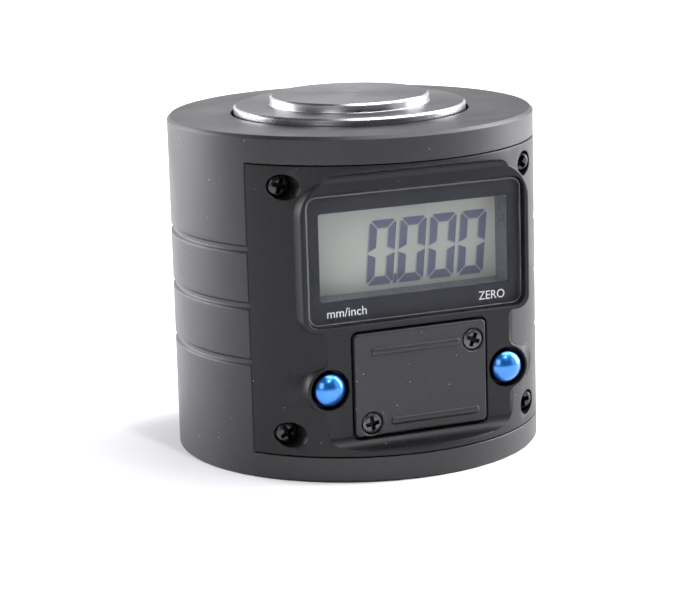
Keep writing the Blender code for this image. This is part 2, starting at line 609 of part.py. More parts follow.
def build_front_panel():
    """D-shaped front with its pad, bezel, button bosses, window seat, battery bay and holes."""
    half_turn = math.degrees(math.acos(-PANEL_BACK / BODY_RADIUS))
    steps = round(BODY_SIDES * half_turn / 180)
    outline = arc((0.0, 0.0), BODY_RADIUS, -90 - half_turn, -90 + half_turn, steps)
    panel = extruded("front_panel", outline, "Z", PANEL_FOOT, PANEL_HEAD, ((0.016, 0.016, 0.018), 0.45))
    cut(panel, pad_cutter())
    half = WINDOW_HALF_WIDTH + SEAT_GAP + BEZEL_WALL
    corners = (BEZEL_FOOT_CORNER, BEZEL_FOOT_CORNER, BEZEL_CORNER, BEZEL_CORNER)
    bezel = rounded_box(-half, half, WINDOW_FOOT - BEZEL_FOOT, WINDOW_HEAD + BEZEL_HEAD, corners, 6)
    join(panel, extruded("bezel", bezel, "Y", PAD_Y, PANEL_BACK - MM))
    inner = BUTTON_HOLE + BOSS_WALL
    for side in (-1, 1):
        profile = [(0.0, PAD_Y), (inner, PAD_Y), (inner + BOSS_FLARE, PAD_Y + BOSS_DEPTH),
                   (inner + BOSS_FLARE, PANEL_BACK - MM), (0.0, PANEL_BACK - MM)]
        join(panel, stepped_rod(f"boss_{side}", profile, (side * BUTTON_X, BUTTON_Z), ROUND_SIDES))
    cut(panel, *window_cutters(), *battery_cutters(), *button_cutters(), *panel_screw_cutters())


def window_cutters():
    """Window seat, tunnel to the display and the display's own pocket."""
    gap = SEAT_GAP
    half = WINDOW_HALF_WIDTH + gap
    seat = rounded_box(-half, half, WINDOW_FOOT - gap, WINDOW_HEAD + gap, (WINDOW_CORNER,) * 4)
    opening = rounded_box(*OPENING, (OPENING_CORNER,) * 4)
    room = DISPLAY_OVERLAP + FIT
    low = (OPENING[0] - room, DISPLAY_Y - FIT, OPENING[2] - room)
    high = (OPENING[1] + room, PANEL_BACK + MM, OPENING[3] + room)
    return (
        extruded("window_seat", seat, "Y", PAD_Y - MM, WINDOW_SEAT),
        extruded("display_tunnel", opening, "Y", WINDOW_SEAT - MM, DISPLAY_Y),
        box("display_pocket", low, high),
    )


def battery_cutters():
    """Cover seat, cell bay, room for the side contact and the cover's screw holes."""
    gap = SEAT_GAP
    half = COVER_HALF_WIDTH + gap
    seat = rounded_box(-half, half, COVER_FOOT - gap, COVER_HEAD + gap, (COVER_CORNER,) * 4)
    cutters = [
        extruded("cover_seat", seat, "Y", PAD_Y - MM, COVER_SEAT),
        stepped_rod("cell_bay", rod_profile(BAY_RADIUS, COVER_SEAT - MM, PANEL_BACK + MM), (0.0, CELL_Z),
                    2 * ROUND_SIDES),
        box("contact_room", (CELL_RADIUS - MM, CELL_Y + MM, CELL_Z - CONTACT_WIDTH / 2 - FIT),
            (BAY_RADIUS + CONTACT_ROOM, PANEL_BACK + MM, CELL_Z + CONTACT_WIDTH / 2 + FIT)),
    ]
    end = COVER_SEAT + COVER_SCREW_LENGTH
    for name, at in COVER_SCREWS.items():
        profile = rod_profile(COVER_SCREW[0] + FIT, COVER_SEAT - MM, end)
        cutters.append(stepped_rod(f"{name}_hole", profile, at, SMALL_SIDES))
    return cutters


def button_cutters():
    """Stepped holes that hold the buttons by their collars."""
    lip = PAD_Y + BUTTON_LIP
    wide = COLLAR_RADIUS + SEAT_GAP
    profile = [(0.0, PAD_Y - MM), (BUTTON_HOLE, PAD_Y - MM), (BUTTON_HOLE, lip), (wide, lip),
               (wide, PANEL_BACK + MM), (0.0, PANEL_BACK + MM)]
    return [
        stepped_rod(f"button_hole_{side}", profile, (side * BUTTON_X, BUTTON_Z), 2 * ROUND_SIDES)
        for side in (-1, 1)
    ]


def panel_screw_cutters():
    """Counterbored holes for the screws that hold the panel to the casing."""
    seat = PANEL_BACK - PANEL_SCREW_WEB
    shank = PANEL_SCREW[0] + SEAT_GAP
    head = PANEL_SCREW[1] + SEAT_GAP
    front = -BODY_RADIUS - MM
    back = PANEL_BACK + MM
    profile = [(0.0, front), (head, front), (head, seat), (shank, seat), (shank, back), (0.0, back)]
    return [
        stepped_rod(f"panel_screw_bore_{number}", profile, at, ROUND_SIDES)
        for number, at in enumerate(PANEL_SCREWS, 1)
    ]


def build_window():
    """Clear window, the black mask behind it and the display glass."""
    half = WINDOW_HALF_WIDTH
    corner = WINDOW_CORNER - SEAT_GAP
    pane = rounded_box(-half, half, WINDOW_FOOT, WINDOW_HEAD, (corner,) * 4)
    opening = rounded_box(*OPENING, (OPENING_CORNER,) * 4)
    clear = ((0.9, 0.92, 0.95), 0.05, 0.0, 0.3)
    extruded("display_window", pane, "Y", WINDOW_Y, WINDOW_Y + WINDOW_THICKNESS, clear)
    black = ((0.008, 0.008, 0.012), 0.2)
    extruded("window_mask", pane, "Y", MASK_Y, MASK_Y + MASK_THICKNESS, black, hole=opening)
    over = DISPLAY_OVERLAP
    low = (OPENING[0] - over, DISPLAY_Y, OPENING[2] - over)
    high = (OPENING[1] + over, DISPLAY_BACK, OPENING[3] + over)
    box("display", low, high, ((0.40, 0.41, 0.36), 0.35))
    rubber = ((0.10, 0.10, 0.11), 0.7)
    for name, middle in (
        ("display_connector_lower", low[2] + CONNECTOR_INSET + CONNECTOR_HEIGHT / 2),
        ("display_connector_upper", high[2] - CONNECTOR_INSET - CONNECTOR_HEIGHT / 2),
    ):
        box(name, (OPENING[0], DISPLAY_BACK + FIT, middle - CONNECTOR_HEIGHT / 2),
            (OPENING[1], BOARD_Y - FIT, middle + CONNECTOR_HEIGHT / 2), rubber)


def build_battery_cover():
    """Screwed cover with two raised ribs."""
    half = COVER_HALF_WIDTH
    outline = rounded_box(-half, half, COVER_FOOT, COVER_HEAD, (COVER_CORNER - SEAT_GAP,) * 4)
    cover = extruded("battery_cover", outline, "Y", COVER_Y, COVER_BACK, ((0.016, 0.016, 0.018), 0.45))
    ribs = {
        "rib_upper": (RIB_INSET_UPPER - half, COVER_HEAD - UPPER_SCREW_EDGE),
        "rib_lower": (half - RIB_INSET_LOWER - RIB_LENGTH, COVER_FOOT + LOWER_SCREW_EDGE),
    }
    for name, (start, middle) in ribs.items():
        rib = rounded_box(start, start + RIB_LENGTH, middle - RIB_HEIGHT / 2, middle + RIB_HEIGHT / 2,
                          (RIB_CORNER,) * 4, 3)
        join(cover, extruded(name, rib, "Y", COVER_Y - RIB_PROUD, COVER_BACK - COVER_THICKNESS / 2))
    shank, head, height = COVER_SCREW
    floor = COVER_Y + height + FIT
    profile = [(0.0, COVER_Y - MM), (head + FIT, COVER_Y - MM), (head + FIT, floor), (shank + FIT, floor),
               (shank + FIT, COVER_BACK + MM), (0.0, COVER_BACK + MM)]
    for name, at in COVER_SCREWS.items():
        cut(cover, stepped_rod(f"{name}_bore", profile, at, ROUND_SIDES))


def strip_outline(path, thickness):
    """Closed outline of a bent strip: the path moved half a thickness to each side."""
    points = [Vector(point) for point in path]
    sides = []
    for before, point, after in zip(points[:1] + points, points, points[1:] + points[-1:]):
        run = (after - before).normalized()
        sides.append((point, Vector((-run.y, run.x)) * thickness / 2))
    return [tuple(p + side) for p, side in sides] + [tuple(p - side) for p, side in reversed(sides)]


def build_battery():
    """Button cell and its two contacts, which stand on the circuit board."""
    steel = ((0.6, 0.6, 0.61), 0.25, 1.0)
    edge = 2 * EDGE_CHAMFER
    profile = [(0.0, CELL_Y), (CELL_RADIUS - edge, CELL_Y), (CELL_RADIUS, CELL_Y + edge),
               (CELL_RADIUS, CELL_BACK - edge), (CELL_RADIUS - edge, CELL_BACK), (0.0, CELL_BACK)]
    stepped_rod("battery", profile, (0.0, CELL_Z), 2 * ROUND_SIDES, steel)
    foot = BOARD_Y - FIT - CONTACT_THICKNESS / 2
    touch = CELL_BACK + 2 * FIT
    reach = CELL_RADIUS / 2
    leaf = [(foot, CELL_Z - reach), (foot, CELL_Z), (touch, CELL_Z + reach),
            (touch + CONTACT_THICKNESS, CELL_Z + 1.5 * reach)]
    half = CONTACT_WIDTH / 2
    extruded("battery_contact_negative", strip_outline(leaf, CONTACT_THICKNESS), "X", -half, half, steel)
    side = CELL_RADIUS + 3 * FIT
    wall = BAY_RADIUS + CONTACT_ROOM / 2
    tab = CONTACT_WIDTH / 2
    clip = [(wall + tab, foot), (wall, foot), (wall, CELL_BACK), (side, CELL_BACK - MM), (wall, CELL_Y + tab)]
    outline = strip_outline(clip, CONTACT_THICKNESS)
    extruded("battery_contact_positive", outline, "Z", CELL_Z - half, CELL_Z + half, steel)


def build_board():
    """Circuit board with its processor and crystal."""
    low = (-BOARD_HALF_WIDTH, BOARD_Y, BOARD_FOOT)
    board = box("circuit_board", low, (BOARD_HALF_WIDTH, BOARD_BACK, BOARD_HEAD), ((0.02, 0.12, 0.05), 0.4))
    for number, at in enumerate(BOARD_SCREWS, 1):
        profile = rod_profile(BOARD_SCREW[0] + FIT, BOARD_Y - MM, BOARD_BACK + MM)
        cut(board, stepped_rod(f"board_hole_{number}", profile, at, SMALL_SIDES))
    black = ((0.01, 0.01, 0.012), 0.35)
    back = BOARD_BACK + FIT
    profile = [(0.0, back), (CHIP_RADIUS, back), (CHIP_RADIUS * 0.8, back + CHIP_HEIGHT * 0.7),
               (0.0, back + CHIP_HEIGHT)]
    middle = (BOARD_SCREWS[0][1] + BOARD_SCREWS[2][1]) / 2
    stepped_rod("processor", profile, (SCALE_HALF_WIDTH + CHIP_RADIUS + MM, middle), ROUND_SIDES, black)
    can = CRYSTAL_RADIUS
    outline = circle(can, SMALL_SIDES, (BOARD_Y - FIT - can, CELL_Z + BAY_RADIUS + 2 * can))
    extruded("crystal", outline, "X", -CRYSTAL_LENGTH / 2, CRYSTAL_LENGTH / 2, ((0.7, 0.7, 0.7), 0.25, 1.0))


def dome(radius, height, rim, steps=5):
    """Profile of a shallow spherical dome whose rim is at y = rim."""
    ball = (radius ** 2 + height ** 2) / (2 * height)
    spread = math.asin(radius / ball)
    turns = [spread * step / steps for step in range(steps + 1)]
    return [(ball * math.sin(t), rim - height + ball * (1 - math.cos(t))) for t in turns]


def build_button(name, side):
    """Blue domed button, its tact switch and the switch's plunger, all on one axis along Y."""
    at = (side * BUTTON_X, BUTTON_Z)
    collar = PAD_Y + BUTTON_LIP + FIT
    collar_back = collar + BUTTON_COLLAR_THICKNESS
    tip = SWITCH_PIN_Y - FIT
    profile = dome(BUTTON_RADIUS, BUTTON_DOME, PAD_Y) + [
        (BUTTON_RADIUS, collar), (COLLAR_RADIUS, collar), (COLLAR_RADIUS, collar_back),
        (BUTTON_STEM, collar_back), (BUTTON_STEM, tip), (0.0, tip),
    ]
    axis = bpy.data.objects.new(f"{name}_axis", None)
    bpy.context.scene.collection.objects.link(axis)
    axis.location = (at[0], PAD_Y, at[1])
    pieces = [stepped_rod(f"{name}_button", profile, at, ROUND_SIDES, ((0.02, 0.12, 0.62), 0.2, 0.6))]
    pin = rod_profile(SWITCH_PIN, SWITCH_PIN_Y, SWITCH_PIN_Y + SWITCH_PIN_LENGTH)
    pieces.append(stepped_rod(f"{name}_switch_plunger", pin, at, SMALL_SIDES, ((0.02, 0.02, 0.02), 0.5)))
    for piece in pieces:
        hang(piece, axis)
    half = SWITCH_SIZE / 2
    high = (at[0] + half, SWITCH_BACK, at[1] + half)
    switch = box(f"{name}_switch", (at[0] - half, SWITCH_Y, at[1] - half), high, ((0.15, 0.15, 0.16), 0.5))
    room = SWITCH_PIN_Y + SWITCH_PIN_LENGTH + BUTTON_TRAVEL + RUNNING
    well = rod_profile(SWITCH_PIN + FIT, SWITCH_Y - MM, room)
    cut(switch, stepped_rod(f"{name}_switch_well", well, at, SMALL_SIDES))


def hang(piece, axis):
    """Parent a piece to an axis empty and keep it where it is."""
    piece.data.transform(Matrix.Translation(-axis.location))
    piece.parent = axis


def cross_screw_mesh(name, sizes, length, sides, look, sunk=False):
    """Cross-head screw along Y, head's face at y = 0; a sunk head is a cone."""
    shank, head, height = sizes
    flat = [(head, 0.0)]
    crowned = [(head * 0.8, 0.0), (head, height * 0.35), (head, height)]
    profile = [(0.0, 0.0)] + (flat if sunk else crowned) + [(shank, height), (shank, length), (0.0, length)]
    screw = stepped_rod(name, profile, (0.0, 0.0), sides, look)
    reach = head * CROSS_SPAN / 2
    half = head * CROSS_WIDTH / 2
    for arm, (x, z) in enumerate(((reach, half), (half, reach))):
        cut(screw, box(f"{name}_arm_{arm}", (-x, -MM, -z), (x, height * CROSS_DEPTH, z)))
    shape = bpy.data.meshes.new_from_object(screw.evaluated_get(bpy.context.evaluated_depsgraph_get()))
    tools = [step.object for step in screw.modifiers]
    for spent in [screw, *tools]:
        bpy.data.objects.remove(spent, do_unlink=True)
    return shape


def place_screw(name, shape, place, rotation=(0.0, 0.0, 0.0)):
    """One screw as its own object on a shared mesh."""
    screw = bpy.data.objects.new(name, shape)
    bpy.context.scene.collection.objects.link(screw)
    screw.location = place
    screw.rotation_euler = rotation


def build_screws():
    """All cross-head screws."""
    black = ((0.02, 0.02, 0.02), 0.35, 0.8)
    nickel = ((0.12, 0.12, 0.12), 0.3, 1.0)
    face = PANEL_BACK - PANEL_SCREW_WEB - FIT - PANEL_SCREW[2]
    panel = cross_screw_mesh("panel_screw", PANEL_SCREW, FLAT_Y + PANEL_SCREW_GRIP - face, ROUND_SIDES, black)
    for number, (x, z) in enumerate(PANEL_SCREWS, 1):
        place_screw(f"panel_screw_{number}", panel, (x, face, z), (0.0, math.radians(20 * number), 0.0))
    cover = cross_screw_mesh("cover_screw", COVER_SCREW, COVER_SEAT + COVER_SCREW_LENGTH - COVER_Y - 2 * FIT,
                             ROUND_SIDES, nickel)
    for (name, (x, z)), tilt in zip(COVER_SCREWS.items(), (25, 80)):
        place_screw(name, cover, (x, COVER_Y, z), (0.0, math.radians(tilt), 0.0))
    head = BOARD_Y - FIT - BOARD_SCREW[2]
    board = cross_screw_mesh("board_screw", BOARD_SCREW, POCKET_BACK + MM - head, SMALL_SIDES, nickel)
    for number, (x, z) in enumerate(BOARD_SCREWS, 1):
        place_screw(f"board_screw_{number}", board, (x, head, z))
    base = cross_screw_mesh("base_screw", BASE_SCREW, BASE_SCREW_LENGTH - FIT, SMALL_SIDES, nickel, sunk=True)
    for number, (x, y) in enumerate(base_screw_places(), 1):
        place_screw(f"base_screw_{number}", base, (x, y, FIT), (math.pi / 2, 0.0, 0.0))


def main():
    clear_scene()
    build_body()
    build_base_plate()
    build_bearings()
    build_anvil()
    build_spindle()
    build_return_spring()
    build_carrier()
    build_front_panel()
    build_window()
    build_battery_cover()
    build_battery()
    build_board()
    build_button("unit", -1)
    build_button("zero", 1)
    build_screws()


main()
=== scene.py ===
"""Visible surfaces and finishes of a digital tool-height presetter, built round its fixed frame.

Every size is in metres in the frame's own axes: base on Z = 0, casing's axis on Z, display facing -Y.
"""
import json
import math

import bmesh
import bpy
import numpy as np
from bpy.props import FloatProperty, FloatVectorProperty, IntProperty, PointerProperty, StringProperty
from mathutils import Matrix, Vector

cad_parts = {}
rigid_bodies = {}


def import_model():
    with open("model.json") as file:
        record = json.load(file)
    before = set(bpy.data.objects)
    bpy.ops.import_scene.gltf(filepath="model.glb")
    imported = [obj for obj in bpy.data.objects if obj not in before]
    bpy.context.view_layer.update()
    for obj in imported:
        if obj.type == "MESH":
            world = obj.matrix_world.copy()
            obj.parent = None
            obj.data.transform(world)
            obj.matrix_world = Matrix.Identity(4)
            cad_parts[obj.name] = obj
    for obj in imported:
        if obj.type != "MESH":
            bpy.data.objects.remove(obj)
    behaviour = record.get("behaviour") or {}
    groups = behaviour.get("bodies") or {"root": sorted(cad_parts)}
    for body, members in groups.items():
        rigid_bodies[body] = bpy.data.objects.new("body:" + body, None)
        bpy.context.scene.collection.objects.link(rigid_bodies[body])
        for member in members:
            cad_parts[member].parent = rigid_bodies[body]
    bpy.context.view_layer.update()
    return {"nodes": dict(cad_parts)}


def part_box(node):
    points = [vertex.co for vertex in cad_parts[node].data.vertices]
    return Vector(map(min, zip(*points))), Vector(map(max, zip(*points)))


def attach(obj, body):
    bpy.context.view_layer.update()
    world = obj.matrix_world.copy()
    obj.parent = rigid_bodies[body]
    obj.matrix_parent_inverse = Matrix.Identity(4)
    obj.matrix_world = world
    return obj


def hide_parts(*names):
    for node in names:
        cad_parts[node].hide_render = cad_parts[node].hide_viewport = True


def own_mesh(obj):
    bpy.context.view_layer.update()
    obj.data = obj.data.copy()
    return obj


bl_info = {
    "name": "Digital height presetter",
    "version": (1, 0, 0),
    "blender": (4, 5, 0),
    "location": "3D View > Sidebar > Presetter",
    "description": "Builds the casing, front panel, window, keys, anvil and screws of a height presetter",
    "category": "Add Mesh",
}

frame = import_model()

MM = 0.001
TURN = 2 * math.pi

# Places read from the frame
CASING_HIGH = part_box("body")[1]
PANEL_LOW, PANEL_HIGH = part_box("front_panel")
WINDOW_LOW, WINDOW_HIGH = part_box("display_window")
MASK_LOW, MASK_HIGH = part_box("window_mask")
DISPLAY_LOW, DISPLAY_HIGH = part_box("display")
COVER_LOW, COVER_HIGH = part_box("battery_cover")
CELL_LOW, CELL_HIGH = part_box("battery")
ANVIL_LOW, ANVIL_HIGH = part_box("anvil")
BASE_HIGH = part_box("base_plate")[1]
BOARD_LOW, BOARD_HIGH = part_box("circuit_board")
BUSH_LOW, BUSH_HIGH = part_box("upper_bush")
CARRIER_LOW, CARRIER_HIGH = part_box("scale_carrier")

# Clearances that the frame's pieces keep
FIT = 0.15 * MM                 # between pieces fixed to each other
SEAT_GAP = 0.20 * MM            # round covers, panes and screws
WELL_GAP = 0.40 * MM            # round the anvil's flange
STROKE = 2.0 * MM               # travel of the anvil

# Sizes that more than one piece shares
PLATE_THICKNESS = 1.8 * MM      # base plate without its spigot
SCREW_HOLE = 1.05 * MM          # radius of the holes of the panel's and the base's screws
SMALL_SCREW_HOLE = 0.85 * MM    # radius of the holes of the cover's screws
SCREW_HEAD = 0.95 * MM          # height of the panel's and the base's screw heads
SMALL_SCREW_HEAD = 0.60 * MM    # height of the cover's screw heads
SOCKET_DEPTH = 1.5 * MM         # of the blind seats of the guide pin and the spindle
PROUD = 0.03 * MM               # raised face in front of the pad, which keeps their faces apart
KEY_LIP = 1.2 * MM              # depth below the pad at which a key's hole widens for its collar
SOFT_EDGE = 0.35 * MM           # reach of the blend between the pad and the casing's curve
SEAT_EDGE = 0.10 * MM           # reach of the blend between the panel's seat and the casing
OPENING_CORNER = 0.4 * MM       # corners of the clear opening
WINDOW_SEAT_CORNER = 1.8 * MM
COVER_SEAT_CORNER = 1.0 * MM
RIB_CORNER = 0.42 * MM
SCREW_MOUTH = 0.14 * MM         # chamfer round each screw's hole in the curved face
BEZEL_HEAD = 2.2 * MM           # bezel above the window
BEZEL_FOOT = 0.8 * MM           # bezel below the window
HEAD_DRAFT = math.radians(12)   # slopes of the walls above and below the pad
FOOT_DRAFT = math.radians(1)
LEGEND_FOOT = 0.82 * MM         # legends above the mask's lower side
LEGEND_HEIGHT = 1.2 * MM

# Levels worked out from those places
RADIUS = CASING_HIGH.x
FLAT_Y = PANEL_HIGH.y + FIT
WINDOW_RECESS = 0.55 * MM
PAD_Y = WINDOW_LOW.y - WINDOW_RECESS
COVER_FACE = PAD_Y - 0.4 * MM
WELL_FLOOR = ANVIL_LOW.z - STROKE - 2 * FIT
KEYS = {"unit": -1, "zero": 1}
PANEL_SCREWS = [f"panel_screw_{number}" for number in range(1, 5)]
BASE_SCREWS = [f"base_screw_{number}" for number in range(1, 4)]


def middle(node):
    """Centre of a node's box."""
    low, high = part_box(node)
    return (low + high) / 2


def face(low, high, margin=0.0):
    """Lower and upper corner of a box seen from the front, as (x, z), with a margin outside it."""
    return (low.x - margin, low.z - margin), (high.x + margin, high.z + margin)


def length(name, description, default):
    """A size in metres for a property group."""
    return FloatProperty(name=name, description=description, default=default, precision=5, unit="LENGTH")


def factor(name, description, default):
    """A share from nothing to all for a property group."""
    return FloatProperty(name=name, description=description, default=default, min=0.0, max=1.0,
                         subtype="FACTOR")


def colour(name, description, default):
    """A linear colour for a property group."""
    return FloatVectorProperty(name=name, description=description, default=default, size=3, min=0.0,
                               max=1.0, subtype="COLOR")


class CasingSizes(bpy.types.PropertyGroup):
    """Sizes of the turned casing."""
    groove_depth: length("Groove depth", "Depth of the three grip grooves", 0.4 * MM)
    groove_width: length("Groove width", "Width of a groove at its mouth", 1.2 * MM)
    groove_pitch: length("Groove pitch", "Height from one groove to the next", 7.87 * MM)
    lowest_groove: length("Lowest groove", "Height of the lowest groove's middle", 16.2 * MM)
    top_chamfer: length("Top chamfer", "Chamfer round the top", 0.45 * MM)
    foot_chamfer: length("Foot chamfer", "Chamfer round the foot", 0.3 * MM)
    break_radius: length("Edge break", "Rounding of the machined edges", 0.12 * MM)


class PanelSizes(bpy.types.PropertyGroup):
    """Sizes of the moulded front panel."""
    head_margin: length("Head margin", "Panel above the pad's upper fillet", 2.75 * MM)
    head_fillet: length("Head fillet", "Fillet between the pad and its upper wall", 1.6 * MM)
    foot_margin: length("Foot margin", "Panel below the pad's lower fillet", 0.95 * MM)
    foot_fillet: length("Foot fillet", "Fillet between the pad and its lower wall", 2.0 * MM)
    edge: length("Outer edge", "Rounding of the panel's upper and lower edges", 0.15 * MM)
    plate_edge: length("Plate edge", "Rounding of the bezel's and bosses' front edges", 0.35 * MM)
    bezel_wall: length("Bezel wall", "Bezel outside the window's seat", 0.75 * MM)
    bezel_corner: length("Bezel corner", "Upper corners of the bezel", 5.0 * MM)
    bezel_foot_corner: length("Bezel lower corner", "Lower corners of the bezel", 2.0 * MM)
    boss_wall: length("Boss wall", "Boss round each key's hole", 0.45 * MM)
    boss_blend: length("Boss blend", "Concave blend between a boss and the pad's side", 1.2 * MM)
    mouth: length("Mouth", "Chamfer at the mouth of each seat and hole", 0.10 * MM)


class CoverSizes(bpy.types.PropertyGroup):
    """Sizes of the battery cover."""
    corner: length("Corner", "Corner radius of the cover", 0.8 * MM)
    edge: length("Edge", "Rounding of the cover's front edge", 0.3 * MM)
    trim: length("Trim", "Extra gap round the cover", 0.10 * MM)
    rib_length: length("Rib length", "Length of a raised rib", 13.4 * MM)
    rib_height: length("Rib height", "Height of a raised rib", 1.0 * MM)
    rib_edge: length("Rib edge", "Depth of the rounding of a rib's edges", 0.24 * MM)
    rib_round: length("Rib round", "Width of the rounding of a rib's edges", 0.42 * MM)


class AnvilSizes(bpy.types.PropertyGroup):
    """Sizes of the anvil."""
    disc_radius: length("Disc radius", "Radius of the raised measuring disc", 11.35 * MM)
    disc_step: length("Disc step", "Measuring disc above the flange", 1.3 * MM)
    chamfer: length("Chamfer", "Bright chamfers of the disc and the flange", 0.28 * MM)


# Legends: words, and their left and right ends in millimetres
LEGENDS = {"legend_units": ("mm/inch", -12.95, -7.1), "legend_zero": ("ZERO", 9.95, 13.95)}


class DisplaySizes(bpy.types.PropertyGroup):
    """Sizes of the window, the display and its digits."""
    pane_chamfer: length("Pane chamfer", "Polished chamfer round the pane's front", 0.28 * MM)
    pane_corner: length("Pane corner", "Corner radius of the pane", 1.6 * MM)
    opening_half: length("Opening half width", "Half the width of the clear opening", 14.25 * MM)
    opening_foot: length("Opening foot", "Black border below the opening", 3.0 * MM)
    opening_head: length("Opening head", "Black border above the opening", 2.65 * MM)
    opening_shift: length("Opening shift", "Clear opening to the right of the pane's middle", 0.35 * MM)
    digit_height: length("Digit height", "Height of a digit", 9.0 * MM)
    digit_width: length("Digit width", "Width of a digit", 3.98 * MM)
    digit_pitch: length("Digit pitch", "From one digit to the next", 4.62 * MM)
    digit_margin: length("Digit margin", "Last digit to the pane's middle opening side", 1.40 * MM)
    digit_foot: length("Digit foot", "Digits above the opening's lower side", 0.85 * MM)
    stroke: length("Stroke", "Width of a digit's segment", 1.12 * MM)
    segment_gap: length("Segment gap", "Clear gap between segments", 0.13 * MM)
    corner_cut: length("Corner cut", "Bevel across a digit's outer corners", 0.45 * MM)
    point_width: length("Point width", "Width of the decimal point", 0.42 * MM)
    lean: FloatProperty(name="Lean", description="Slope of the digits", default=math.radians(5.2),
                        subtype="ANGLE")
    reading: StringProperty(name="Reading", description="Digits and point that are shown", default="0.000")


class KeySizes(bpy.types.PropertyGroup):
    """Sizes of the push buttons and their switches."""
    radius: length("Cap radius", "Radius of a button's cap", 2.4 * MM)
    dome: length("Dome", "Height of the cap's dome", 1.45 * MM)
    hole_gap: length("Hole gap", "Gap between a cap and its hole", 0.42 * MM)
    collar_gap: length("Collar gap", "Gap round a button's collar", 0.2 * MM)


class ScrewSizes(bpy.types.PropertyGroup):
    """Shape of the cross-head screws."""
    cross_span: factor("Cross span", "Length of the cross, as a share of the head's diameter", 0.70)
    cross_arm: factor("Cross arm", "Width of an arm, as a share of the head's diameter", 0.20)
    crown: factor("Crown", "Height of the head's rounding, as a share of the head's height", 0.45)


class SpringSizes(bpy.types.PropertyGroup):
    """Sizes of the return spring."""
    wire: length("Wire radius", "Radius of the spring's wire", 0.3 * MM)
    turns: IntProperty(name="Turns", description="Turns of the spring", default=9, min=2)


class Finishes(bpy.types.PropertyGroup):
    """Colours of the finishes."""
    casing: colour("Casing", "Satin black of the casing", (0.012, 0.012, 0.013))
    panel: colour("Panel", "Moulded black of the panel", (0.0072, 0.0072, 0.0082))
    cover: colour("Cover", "Moulded black of the battery cover", (0.018, 0.018, 0.020))
    anvil: colour("Anvil", "Ground steel of the anvil", (0.175, 0.175, 0.18))
    key: colour("Keys", "Blue lacquer of the keys", (0.024, 0.208, 0.690))
    mask: colour("Mask", "Black border behind the window", (0.008, 0.008, 0.013))
    display: colour("Display", "Clear part of the display", (0.42, 0.425, 0.37))
    digits: colour("Digits", "Dark segments of the display", (0.088, 0.096, 0.155))
    legend: colour("Legends", "Printed legends", (0.80, 0.80, 0.80))


class StageSettings(bpy.types.PropertyGroup):
    """Camera and light."""
    azimuth: FloatProperty(name="Azimuth", description="Camera round the casing from the front",
                           default=math.radians(-23.470), subtype="ANGLE")
    elevation: FloatProperty(name="Elevation", description="Camera above the horizon",
                             default=math.radians(12.456), subtype="ANGLE")
    roll: FloatProperty(name="Roll", description="Camera's tilt about its own line of sight",
                        default=math.radians(-1.566), subtype="ANGLE")
    distance: length("Distance", "Camera to the point it looks at", 376.48 * MM)
    lens: FloatProperty(name="Lens", description="Focal length in millimetres", default=133.92)
    sky: FloatProperty(name="Room light", description="Strength of the light all round", default=0.06)
    light: FloatProperty(name="Soft lights", description="Strength of the soft lights", default=1.15)


# Shapes

def eased(corners, steps=5, closed=True):
    """Outline with rounded corners. Each corner is (a, b, radius), and an arc that touches both of its
    sides replaces it: the arc's centre lies on the corner's bisector at radius / sin(half angle)."""
    places = np.array([corner[:2] for corner in corners], float)
    outline = []
    for number, corner in enumerate(corners):
        at = places[number]
        radius = corner[2] if len(corner) > 2 else 0.0
        if radius <= 0 or (not closed and number in (0, len(corners) - 1)):
            outline.append(at[None])
            continue
        back = places[number - 1] - at
        ahead = places[(number + 1) % len(places)] - at
        back /= np.linalg.norm(back)
        ahead /= np.linalg.norm(ahead)
        half = math.acos(np.clip(back @ ahead, -1, 1)) / 2
        centre = at + (back + ahead) / np.linalg.norm(back + ahead) * radius / math.sin(half)
        first = at + back * radius / math.tan(half) - centre
        last = at + ahead * radius / math.tan(half) - centre
        start = math.atan2(first[1], first[0])
        sweep = (math.atan2(last[1], last[0]) - start + math.pi) % TURN - math.pi
        outline.append(arc(centre, radius, start, start + sweep, steps))
    return np.concatenate(outline)


def arc(centre, radius, start, end, steps=8):
    """Points on a circle: centre plus radius times (cosine, sine) of angles from start to end."""
    angle = np.linspace(start, end, steps + 1)
    return np.array(centre) + radius * np.stack([np.cos(angle), np.sin(angle)], axis=1)


def rounded_box(low, high, corner, inset=0.0, steps=6):
    """Rectangle with round corners, moved in by an inset that also shrinks the corners' radius."""
    radius = max(corner - inset, 0.02 * MM)
    x0, z0, x1, z1 = low[0] + inset, low[1] + inset, high[0] - inset, high[1] - inset
    return eased([(x0, z0, radius), (x1, z0, radius), (x1, z1, radius), (x0, z1, radius)], steps)


def skin(name, grid, close_rows=False, close_columns=True, caps=False):
    """Mesh of a grid of points: each cell is one face between two rows and two columns. Rows and columns
    can close on themselves, and caps close the first and the last row with one face each."""
    rows, columns = grid.shape[:2]
    index = np.arange(rows * columns).reshape(rows, columns)
    if close_rows:
        index = np.concatenate([index, index[:1]])
    if close_columns:
        index = np.concatenate([index, index[:, :1]], axis=1)
    cells = np.stack([index[:-1, :-1], index[:-1, 1:], index[1:, 1:], index[1:, :-1]], axis=-1)
    faces = cells.reshape(-1, 4).tolist()
    if caps:
        faces += [list(range(columns))[::-1], [(rows - 1) * columns + step for step in range(columns)]]
    mesh = bpy.data.meshes.new(name)
    mesh.from_pydata(grid.reshape(-1, 3).tolist(), [], faces)
    return tidy_mesh(new_object(name, mesh))


def new_object(name, mesh):
    """Link a mesh to the scene as an object at the origin."""
    made = bpy.data.objects.new(name, mesh)
    bpy.context.scene.collection.objects.link(made)
    return made


